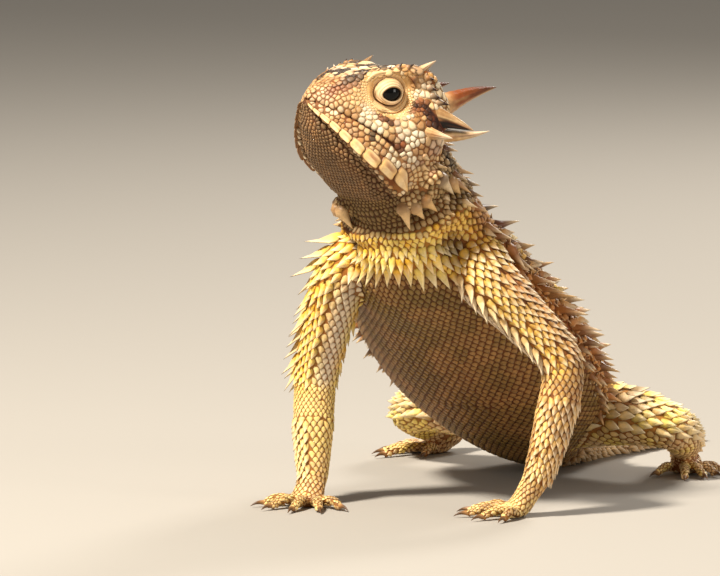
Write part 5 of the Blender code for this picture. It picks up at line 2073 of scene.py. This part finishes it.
    @staticmethod
    def place(lie: tuple[Array, Array, Array, Array], a: Array, b: Array, z: Array) -> Array:
        """Points of scales from their own coordinates.

        Args:
            lie: root of each scale and its directions along, across and out of the skin.
            a: coordinates along.
            b: coordinates across.
            z: heights.

        Returns:
            The points of each scale.
        """
        root, along, across, normal = (values[:, None] for values in lie)
        return root + along * a[..., None] + across * b[..., None] + normal * z[..., None]

    def pieces(self, seeds: Seeds, rng: np.random.Generator) -> dict[str, Shape]:
        """All scales by region.

        Args:
            seeds: all seeds.
            rng: source of small differences.

        Returns:
            Name and shape of each piece.
        """
        seeds, normal = self.settle(seeds)
        along = unit(seeds.along - dot(seeds.along, normal)[:, None] * normal)
        radius = self.cells(seeds, normal, along, np.cross(normal, along))
        fine = np.array([len(form.value.rings) == 2 for form in FORMS])[seeds.form]
        result = {}
        for group in np.unique(seeds.group):
            for word, kind in (("", ~fine), ("_fine", fine)):
                mine = (seeds.group == group) & kind
                if mine.any():
                    rings = FORMS[seeds.form[mine][0]].value.rings
                    scales = (seeds.take(mine), normal[mine], radius[mine])
                    result[f"{group}{word}"] = self.shape(*scales, rings, rng)
        return result


@dataclass(frozen=True)
class Eyes:
    """Eyeballs with a dark iris, and the smooth ringed lids round them.

    Attributes:
        radius: radius of an eyeball.
        thickness: thickness of a lid.
        outer: reach of the smooth skin round an eye.
        forward: how much further it reaches towards the snout.
        ringlets: fine folds across a lid.
        lid_rings: rings of points from the slit out.
        lid_sides: points of a ring.
    """

    radius: float = EYE_RADIUS
    thickness: float = 0.32
    outer: float = 2.7
    forward: float = 1.3
    ringlets: int = 8
    lid_rings: int = 44
    lid_sides: int = 96

    @classmethod
    def reach(cls, turn: Array) -> Array:
        """Reach of the smooth skin in each direction round an eye."""
        return cls.outer + cls.forward * np.maximum(0.1 - 0.9 * np.cos(turn + 0.35), 0) ** 2

    @staticmethod
    def axes() -> tuple[Array, Array, Array]:
        """Axes of an eye's opening in head coordinates.

        Returns:
            Its outward, long and short axis.
        """
        outward = unit(np.array(EYE_LOOK))
        tilt = np.array((0.0, math.cos(LID_TILT), math.sin(LID_TILT)))
        long_way = unit(tilt - (tilt @ outward) * outward)
        return outward, long_way, np.cross(outward, long_way)

    @classmethod
    def distance(cls, local: Array) -> Array:
        """Distance from the line that an eye looks along, less what its smooth skin reaches further forward.

        Args:
            local: points of the head's left half in millimetres.

        Returns:
            The distances, and 9 behind the eye.
        """
        look, long_way, short_way = cls.axes()
        offset = local - EYE_CENTRE
        a, b = offset @ long_way, offset @ short_way
        spare = cls.reach(np.arctan2(b, a)) - cls.outer
        return np.where(offset @ look > 0, np.hypot(a, b) - spare, 9.0)

    def ball(self, side: int, palette: Palette) -> Shape:
        """An eyeball: a sphere from its front pole, with a slight bulge there, iris and pupil as its colours.

        Args:
            side: 1 for left and -1 for right.
            palette: paints of the animal.

        Returns:
            The shape.
        """
        polar = np.concatenate([np.linspace(0.03, 1.0, 22), np.linspace(1.1, 3.05, 14)])[:, None]
        turn = around(48)[None]
        reach = self.radius - 0.06 + 0.06 * np.exp(-((polar / 0.6) ** 2))
        points = self.place(np.sin(polar) * reach, np.cos(polar) * reach + 0 * turn, turn, side)
        shape = Shape.grid(points).turned_out()
        iris = bump(polar, 0.55, 0.06) * (0.6 + 0.4 * np.sin(turn * 17))
        colour = mix(np.full((*iris.shape, 3), 0.002), palette.rust * 0.3, iris * 0.2)
        shape.colour = np.concatenate([colour.reshape(-1, 3), np.full((2, 3), 0.002)])
        return shape

    def lid(self, side: int, palette: Palette, skin: Skin) -> Shape:
        """Both lids and the folds round them as one ring, thick from the slit to a crease and thin beyond.

        Args:
            side: 1 for left and -1 for right.
            palette: paints of the animal.
            skin: skin that the outer edge sinks into.

        Returns:
            The closed ring.
        """
        turn, t = around(self.lid_sides)[None], np.linspace(0, 1, self.lid_rings)[:, None]
        cos, sin = np.cos(turn), np.sin(turn)
        corner = 1 + 0.10 * np.abs(cos) ** 8
        slit = corner / np.sqrt((cos / LID_OPENING[0]) ** 2 + (sin / LID_OPENING[1]) ** 2)
        fold = (1 + 0.10 * cos**6) / np.sqrt((cos / 2.15) ** 2 + (sin / np.where(sin > 0, 2.1, 1.65)) ** 2)
        outer = self.reach(turn) + 0.15
        inside, outside = slit + (fold - slit) * t / 0.45, fold + (outer - fold) * (t - 0.45) / 0.55
        radius = np.where(t < 0.45, inside, outside)
        edge = self.skin_depth(outer, turn, side, skin)
        ball = np.sqrt(np.maximum((self.radius + 0.05) ** 2 - radius**2, 0.25))
        base = ball + (np.maximum(edge, ball) - ball - 0.02) * ramp(0.30, 0.90, t)
        lower = 0.5 - 0.5 * sin
        thick = self.thickness * ramp(0.0, 0.10, t) * (1 - 0.3 * ramp(0.1, 0.4, t)) * ramp(0.50, 0.42, t)
        wave = np.cos(t * 2 * math.pi * self.ringlets + 0.6 * cos)
        folds = 0.05 * wave * ramp(0.05, 0.15, t) * ramp(1.0, 0.8, t)
        crease = -(0.10 + 0.42 * lower) * bump(t, 0.48, 0.04) - 0.08 * bump(t, 0.66, 0.03)
        depth = base + thick + folds + crease - 0.6 * ramp(0.93, 1.0, t)
        inner = slit * 1.02
        back_radius = np.concatenate([outer - 0.3, 2.0 + 0 * turn, inner])
        back_depth = [edge - 1.2, 0.4 + 0 * turn, np.sqrt(2.0**2 - np.minimum(inner, 1.9) ** 2)]
        rings = np.concatenate([
            self.place(radius, depth, turn, side),
            self.place(back_radius, np.concatenate(back_depth), turn, side),
        ])
        count, sides = rings.shape[:2]
        k, r = np.arange(sides), np.arange(count)[:, None]
        n, here, after = (k + 1) % sides, r * sides, (r + 1) % count * sides
        faces = np.stack([here + k, here + n, after + n, after + k], -1).reshape(-1, 4)
        # Painted shadow: the crease round the lids, darkest below, and a band under the lower lid are darkened
        # with rust.
        dusk = bump(t, 0.48, 0.04) * (0.2 + 0.8 * lower)
        dusk = dusk + bump(t, 0.56, 0.06) * ramp(0.6, 1.0, lower) * 0.6
        colour = layered(
            mix(palette.cream * 0.85, palette.ivory, bump(t, 0.22, 0.15) * (0.15 + 0.45 * lower)),
            (palette.rust, ramp(0.6, -1.0, wave) * 0.35),
            (palette.cream, ramp(0.5, 0.7, t) * 0.8),
            (palette.rust * 0.35, dusk),
            # Painted shade where the lids meet the eyeball: darker to the slit.
            (palette.dark * 0.5, 1 - ramp(0.0, 0.07, t)),
        )
        # Painted shade on the hidden back rings, which keep 0.6 of the colour.
        colour = np.concatenate([colour, np.repeat(colour[-1:] * 0.6, len(back_depth), 0)])
        return Shape(rings.reshape(-1, 3), faces, colour.reshape(-1, 3)).turned_out()

    def skin_depth(self, outer: Array, turn: Array, side: int, skin: Skin) -> Array:
        """Height of the skin over an eye's middle round the lids' outer edge, by rays sent in along its axis.

        Args:
            outer: reach of that edge.
            turn: angles round the eye's axis.
            side: 1 for left and -1 for right.
            skin: skin that the rays meet.

        Returns:
            One height in millimetres for each angle.
        """
        far = self.place(outer, outer * 0 + 7.0, turn, side)[0]
        way = (self.axes()[0] * np.array((side, 1, 1))) @ np.array((HEAD.left, HEAD.back, HEAD.up))
        hits = [skin.tree.ray_cast(Vector(place), Vector(-way), 0.02) for place in far]
        return np.array([[7.0 - (hit[3] or 0.0065) / MM for hit in hits]])

    @classmethod
    def place(cls, radius: Array, depth: Array, turn: Array, side: int) -> Array:
        """Body points round an eye's axis.

        Args:
            radius: distances from the axis.
            depth: places along it.
            turn: angles round it.
            side: 1 for left and -1 for right.

        Returns:
            The points.
        """
        outward, long_way, short_way = cls.axes()
        local = depth[..., None] * outward + (radius * np.cos(turn))[..., None] * long_way
        return HEAD.place(np.array(EYE_CENTRE) + local + (radius * np.sin(turn))[..., None] * short_way, side)


@dataclass(frozen=True)
class Horns:
    """The crown of horns: points round one, its rings, and how far its root is sunk."""

    sides: int = 28
    rings: int = 30
    sunk: float = 1.4

    def shape(self, name: str, side: int, palette: Palette) -> Shape:
        """A horn: circles along a bowed line, with long grooves and growth rings, that shrink to a point.

        Args:
            name: key of the horn's sizes.
            side: 1 for left and -1 for right.
            palette: paints of the animal.

        Returns:
            The shape with its colours.
        """
        root, tip, wide, flat, bow = HORNS[name]
        foot, point = HEAD.place(root, side), HEAD.place(tip, side)
        axis = unit(point - foot)
        foot = foot - axis * self.sunk * MM
        flattened = flat < 0.8
        thin = unit(np.cross(axis, np.cross(HEAD.left * side, axis) if flattened else HEAD.up))
        over = np.cross(thin, axis)
        over = over * np.sign(over @ HEAD.up)
        t = np.linspace(0, 0.985, self.rings)[:, None]
        turn = around(self.sides)[None]
        cos, sin = np.cos(turn), np.sin(turn)
        size = wide * np.maximum(1 - t, 0.0) ** 0.85
        grooves = 1 - 0.10 * np.cos(turn * 5 + t * 2) ** 4 - 0.05 * np.cos(turn * 9 + 1) ** 2
        growth = 1 + 0.03 * np.sin(t * 50) * (1 - t)
        flare = 1 + 0.25 * np.exp(-t * 9)
        r = size * grooves * growth * flare * MM
        middle = foot + (point - foot) * t[..., None] + over * (bow * MM * 4 * t * (1 - t))[..., None]
        edge = 1 + (0.25 if flattened else 0.0) * np.abs(sin) ** 6
        points = middle + (r * cos * flat)[..., None] * thin + (r * sin * edge)[..., None] * over
        shape = Shape.grid(points, (foot, point)).turned_out()
        squeezed = points - axis * dot(points, axis)[..., None] * 0.8
        streak = noise(squeezed.reshape(-1, 3), 0.45, 7).reshape(points.shape[:2])
        along, high, grooves = (values + 0 * streak for values in (t, sin, grooves))
        shape.colour = Shape.ended(self.colours(name, side, palette, along, high, streak, grooves))
        return shape

    @staticmethod
    def colours(name: str, side: int, c: Palette, t: Array, high: Array, streak: Array,
                grooves: Array) -> Array:
        """Colours of a horn: streaked tan or cream, dark at tip or top, with a dark underside deepened by
        painted shade and brown grooves.

        Args:
            name: key of the horn's sizes.
            side: 1 for left and -1 for right.
            c: paints of the animal.
            t: share of the way to the tip of each point.
            high: height of each point in its ring, from -1 to 1.
            streak: noise drawn out along the horn.
            grooves: depth of the grooves as a share that is left of the radius.

        Returns:
            One colour for each point.
        """
        if name.startswith("occipital"):
            body = layered(
                mix(c.tan, c.rust * 0.8, ramp(0.0, 0.35, t) * ramp(0.05, 0.5, streak + 0.3 * high)),
                (c.dark, ramp(0.35, 0.9, t) * (0.45 + 0.25 * high + 0.3 * streak)),
                (c.cream, ramp(0.30, 0.0, t) * 0.6 + ramp(-0.5, -0.9, high) * 0.5),
            )
        else:
            # Share of grey and of painted shade on the underside for each horn, the right brow horn more than
            # the left.
            dusky = {"temporal_horn_middle": 0.8, "brow_horn": 0.3 if side > 0 else 1.0}.get(name, 0.1)
            under = 1.0 if name == "temporal_horn_middle" else dusky
            uneven = high + 0.6 * streak - 0.3
            body = layered(
                mix(c.cream, c.tan, ramp(0.3, 0.7, streak) * 0.8),
                (c.grey_tan, np.full(t.shape, 0.7 * dusky)),
                (c.ivory, ramp(0.4, 0.9, t) * (1 - dusky) * 0.8),
                (c.rust, bump(high, -0.2, 0.3) * 0.5),
                # Dark underside: the horn's own dark band deepened by painted shade where it faces down.
                (c.dark * 0.25, ramp(0.10, -0.35, uneven) * ramp(1.0, 0.85, t) * under),
            )
            if name == "temporal_horn_upper":
                body = mix(body, c.dark * 0.4, ramp(0.15, 0.65, uneven) * ramp(0.75, 0.45, t) * 0.85)
        return layered(
            body,
            (c.rust * 0.5, ramp(0.06, 0.0, t) * 0.8),
            (c.rust * 0.4, ramp(0.93, 0.87, grooves) * 0.6),
        )


@dataclass(frozen=True)
class Claws:
    """A curved claw on every digit: points and rings of one, its radius at the root and its bow."""

    sides: int = 10
    rings: int = 9
    radius: float = 0.42
    bow: float = 0.35

    def shape(self, plan: Plan, palette: Palette) -> Shape:
        """All claws: small ovals along a line that bends down to a point.

        Args:
            plan: plan that holds the digits.
            palette: paints of the animal.

        Returns:
            The joined shape.
        """
        t = np.linspace(0, 0.96, self.rings)[:, None]
        turn = around(self.sides)[None]
        shapes = []
        for root, tip, way in plan.feet.claws:
            across = unit(np.cross(way, UP))
            middle = root + (tip - root) * t[..., None] + UP * (self.bow * MM * 4 * t * (1 - t))[..., None]
            r = self.radius * MM * (1 - t) ** 0.7
            ring = (r * np.cos(turn))[..., None] * across + (r * np.sin(turn))[..., None] * UP
            points = middle + ring
            points[..., 2] = np.maximum(points[..., 2], FLOOR_ROOM)
            end = np.maximum(tip, (-np.inf, -np.inf, FLOOR_ROOM))
            shape = Shape.grid(points, (root, end)).turned_out()
            share = np.broadcast_to(ramp(0.0, 0.7, t), points.shape[:2]) * 0.85
            shape.colour = Shape.ended(mix(palette.tan, palette.dark, share))
            shapes.append(shape)
        return Shape.join(shapes)


@dataclass(frozen=True)
class Finish:
    """A finish: how rough it is, size and depth of its grain, how far that shifts its tone, and its shine."""

    name: str
    roughness: float
    grain_size: float
    grain_depth: float
    shift: float
    shine: float = 0.35

    def material(self, grain: bpy.types.NodeTree) -> bpy.types.Material:
        """The finish as a material: markings shifted by the grain group, which also gives the bump's height.

        Args:
            grain: shared node group.

        Returns:
            The material.
        """
        material = bpy.data.materials.new(self.name)
        material.use_nodes = True
        nodes, links = material.node_tree.nodes, material.node_tree.links
        shader = nodes["Principled BSDF"]
        shader.inputs["Roughness"].default_value = self.roughness
        shader.inputs["Specular IOR Level"].default_value = self.shine
        marks = nodes.new("ShaderNodeAttribute")
        marks.attribute_name = "Markings"
        group = nodes.new("ShaderNodeGroup")
        group.node_tree = grain
        group.inputs["Size"].default_value = self.grain_size / MM
        group.inputs["Shift"].default_value = self.shift
        bump_node = nodes.new("ShaderNodeBump")
        bump_node.inputs["Strength"].default_value = 0.6
        bump_node.inputs["Distance"].default_value = self.grain_depth * MM
        links.new(marks.outputs["Color"], group.inputs["Colour"])
        links.new(group.outputs["Colour"], shader.inputs["Base Color"])
        links.new(group.outputs["Height"], bump_node.inputs["Height"])
        links.new(bump_node.outputs["Normal"], shader.inputs["Normal"])
        return material


class Finishes:
    """All materials, built once."""

    def __init__(self) -> None:
        """Builds the shared grain and each finish."""
        self.grain = self.grain_group()
        self.skin = Finish("flesh", 0.72, 1.8, 0.10, 0.25).material(self.grain)
        self.scale = Finish("scale", 0.50, 2.6, 0.05, 0.18).material(self.grain)
        self.thorn = Finish("thorn", 0.42, 2.2, 0.05, 0.20).material(self.grain)
        self.lid = Finish("lid", 0.55, 3.2, 0.05, 0.12).material(self.grain)
        self.horn = Finish("horn", 0.38, 2.4, 0.06, 0.25).material(self.grain)
        self.eye = Finish("eye", 0.07, 1.0, 0.0, 0.0, 0.2).material(self.grain)

    @staticmethod
    def grain_group() -> bpy.types.NodeTree:
        """A group that shifts a colour by noise on object coordinates and puts out the noise as a height.

        Returns:
            The node group.
        """
        group = bpy.data.node_groups.new("grain", "ShaderNodeTree")
        sockets = (("Colour", "Color", "INPUT"), ("Size", "Float", "INPUT"), ("Shift", "Float", "INPUT"),
                   ("Colour", "Color", "OUTPUT"), ("Height", "Float", "OUTPUT"))
        for name, kind, way in sockets:
            group.interface.new_socket(name, in_out=way, socket_type=f"NodeSocket{kind}")
        nodes, links = group.nodes, group.links
        given, result = nodes.new("NodeGroupInput"), nodes.new("NodeGroupOutput")
        place = nodes.new("ShaderNodeTexCoord")
        fine = nodes.new("ShaderNodeTexNoise")
        fine.inputs["Detail"].default_value = 3.0
        centred = nodes.new("ShaderNodeMath")
        centred.operation = "SUBTRACT"
        centred.inputs[1].default_value = 0.5
        amount = nodes.new("ShaderNodeMath")
        amount.operation = "MULTIPLY"
        lifted = nodes.new("ShaderNodeMath")
        lifted.operation = "MULTIPLY_ADD"
        lifted.inputs[1].default_value = 2.0
        lifted.inputs[2].default_value = 1.0
        tint = nodes.new("ShaderNodeVectorMath")
        tint.operation = "SCALE"
        links.new(place.outputs["Object"], fine.inputs["Vector"])
        links.new(given.outputs["Size"], fine.inputs["Scale"])
        links.new(fine.outputs["Fac"], centred.inputs[0])
        links.new(centred.outputs[0], amount.inputs[0])
        links.new(given.outputs["Shift"], amount.inputs[1])
        links.new(amount.outputs[0], lifted.inputs[0])
        links.new(given.outputs["Colour"], tint.inputs[0])
        links.new(lifted.outputs[0], tint.inputs["Scale"])
        links.new(tint.outputs[0], result.inputs["Colour"])
        links.new(fine.outputs["Fac"], result.inputs["Height"])
        return group


@dataclass
class Studio:
    """Plain pale floor, soft light from the camera's upper left and the camera at the photograph's view.

    Attributes:
        azimuth: angle of the camera to its right from straight before the animal.
        elevation: its angle over the floor.
        distance: its distance in metres.
        aim: body point that the picture's middle is measured from.
        offset: that point's place right of and over the picture's middle, in millimetres.
        frame_width: width of the picture at the animal, in millimetres.
    """

    azimuth: float = math.radians(25)
    elevation: float = math.radians(6)
    distance: float = 0.9
    aim: tuple[float, float, float] = (0.0, 0.0, 34.0)
    offset: tuple[float, float] = (7.5, 1.9)
    frame_width: float = 104.4

    def __post_init__(self) -> None:
        """Works out the camera's axes."""
        a, e = self.azimuth, self.elevation
        self.right = np.array((math.cos(a), math.sin(a), 0.0))
        self.toward = np.array((math.sin(a) * math.cos(e), -math.cos(a) * math.cos(e), math.sin(e)))
        self.over = np.cross(self.toward, self.right)
        self.middle = (self.aim - self.offset[0] * self.right - self.offset[1] * self.over) * MM - MIDDLE

    def build(self) -> None:
        """Makes floor, lights, world and camera."""
        self.floor()
        self.light("key", (-0.55, 0.50, 0.95), 0.75, 0.10, 13.0, (1.0, 0.94, 0.84))
        self.light("fill", (0.9, 0.5, 0.15), 0.9, 0.3, 2.0, (1.0, 0.95, 0.88))
        self.light("rim", (0.5, -0.75, 0.7), 0.8, 0.2, 3.5, (1.0, 0.96, 0.90))
        world = bpy.data.worlds.new("studio")
        world.use_nodes = True
        world.node_tree.nodes["Background"].inputs["Color"].default_value = (1.0, 0.95, 0.88, 1.0)
        world.node_tree.nodes["Background"].inputs["Strength"].default_value = 0.34
        bpy.context.scene.world = world
        bpy.context.scene.view_settings.view_transform = "Standard"
        self.camera()

    def floor(self) -> None:
        """A round pale floor far wider than the view."""
        turn = around(96)
        edges = ((0.1, 0), (1.0, 0), (4.0, 0), (4.0, -0.01), (0.1, -0.01))
        rings = np.array([
            np.column_stack([r * np.cos(turn), r * np.sin(turn), np.full(len(turn), z)]) for r, z in edges
        ])
        floor = Shape.grid(rings).turned_out().to_object("floor", shift=False)
        material = bpy.data.materials.new("floor")
        material.use_nodes = True
        shader = material.node_tree.nodes["Principled BSDF"]
        shader.inputs["Base Color"].default_value = (0.35, 0.32, 0.28, 1.0)
        shader.inputs["Roughness"].default_value = 0.9
        floor.data.materials.append(material)

    def light(self, name: str, way: tuple[float, float, float], distance: float, size: float, power: float,
              colour: tuple[float, float, float]) -> None:
        """An area light that faces the animal.

        Args:
            name: name of the light.
            way: direction to it as shares of the camera's right, toward and up axes.
            distance: metres from the animal.
            size: width of the light.
            power: watts.
            colour: colour of its light.
        """
        data = bpy.data.lights.new(name, "AREA")
        data.energy = power
        data.size = size
        data.color = colour
        lamp = bpy.data.objects.new(name, data)
        direction = unit(way[0] * self.right + way[1] * self.toward + way[2] * self.over)
        lamp.location = self.middle + direction * distance
        lamp.rotation_euler = Vector(direction).to_track_quat("Z", "Y").to_euler()
        bpy.context.scene.collection.objects.link(lamp)

    def camera(self) -> None:
        """The camera, level with its right axis, at the photograph's distance and width."""
        data = bpy.data.cameras.new("camera")
        data.sensor_width = 36.0
        data.lens = 36.0 * self.distance / (self.frame_width * MM)
        data.clip_start = 0.01
        camera = bpy.data.objects.new("camera", data)
        axes = Matrix(np.column_stack([self.right, self.over, self.toward]).tolist()).to_4x4()
        camera.matrix_world = Matrix.Translation(self.middle + self.toward * self.distance) @ axes
        bpy.context.scene.collection.objects.link(camera)
        bpy.context.scene.camera = camera


def dress(obj: bpy.types.Object, material: bpy.types.Material, slot: Slot,
          nodes: tuple[str, ...] = ()) -> None:
    """Gives a piece its material and body, and hides the solids that it replaces.

    Args:
        obj: the piece.
        material: its material.
        slot: the record's slot for its finish; not used.
        nodes: solids that it stands for.
    """
    obj.data.materials.clear()
    obj.data.materials.append(material)
    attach(obj, "root")
    if nodes:
        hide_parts(*nodes)
    log.info("%s: %d faces", obj.name, len(obj.data.polygons))


def slot_of(group: str) -> Slot:
    """The slot of a region's scales.

    Args:
        group: name of the region.

    Returns:
        The record's slot.
    """
    if group in ("scales_head", "scales_throat"):
        return Slot.HEAD
    return Slot.LIMB if "arm" in group or "leg" in group or "feet" in group else Slot.BODY


def main() -> None:
    """Builds skin, coat, spines, horns, eyes, claws and studio in that order."""
    logging.basicConfig(level=logging.INFO, format="%(message)s")
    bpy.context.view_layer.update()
    rng = np.random.default_rng(SEED)
    plan = Plan()
    markings = Markings(plan)
    finishes = Finishes()
    skin = Skin(plan)
    dress(skin.painted(markings), finishes.skin, Slot.BODY, FLESH_NODES)
    scatter = Scatter(skin, rng)
    seeds = Seeds.join(HeadScales().seeds(scatter) + BodyScales().seeds(plan, scatter))
    for group, shape in Coat(skin, markings).pieces(seeds, rng).items():
        dress(shape.to_object(group), finishes.scale, slot_of(group))
    spines = Spines()
    spines.grow()
    dress(spines.shape(skin, markings, rng).to_object("spines"), finishes.thorn, Slot.BODY)
    horns, eyes, palette = Horns(), Eyes(), markings.paint
    dress(JawPlates().shape(palette).to_object("jaw_plates"), finishes.scale, Slot.HEAD)
    for word, side in (("left", 1), ("right", -1)):
        for name in HORNS:
            piece = horns.shape(name, side, palette).to_object(f"{name}_{word}_ribbed")
            dress(piece, finishes.horn, Slot.HORN, (f"{name}_{word}",))
        dress(eyes.ball(side, palette).to_object(f"eyeball_{word}"), finishes.eye, Slot.EYE, (f"eye_{word}",))
        dress(eyes.lid(side, palette, skin).to_object(f"lids_{word}"), finishes.lid, Slot.HEAD)
    dress(Claws().shape(plan, palette).to_object("claws"), finishes.horn, Slot.HORN)
    Studio().build()


if __name__ == "__main__":
    main()
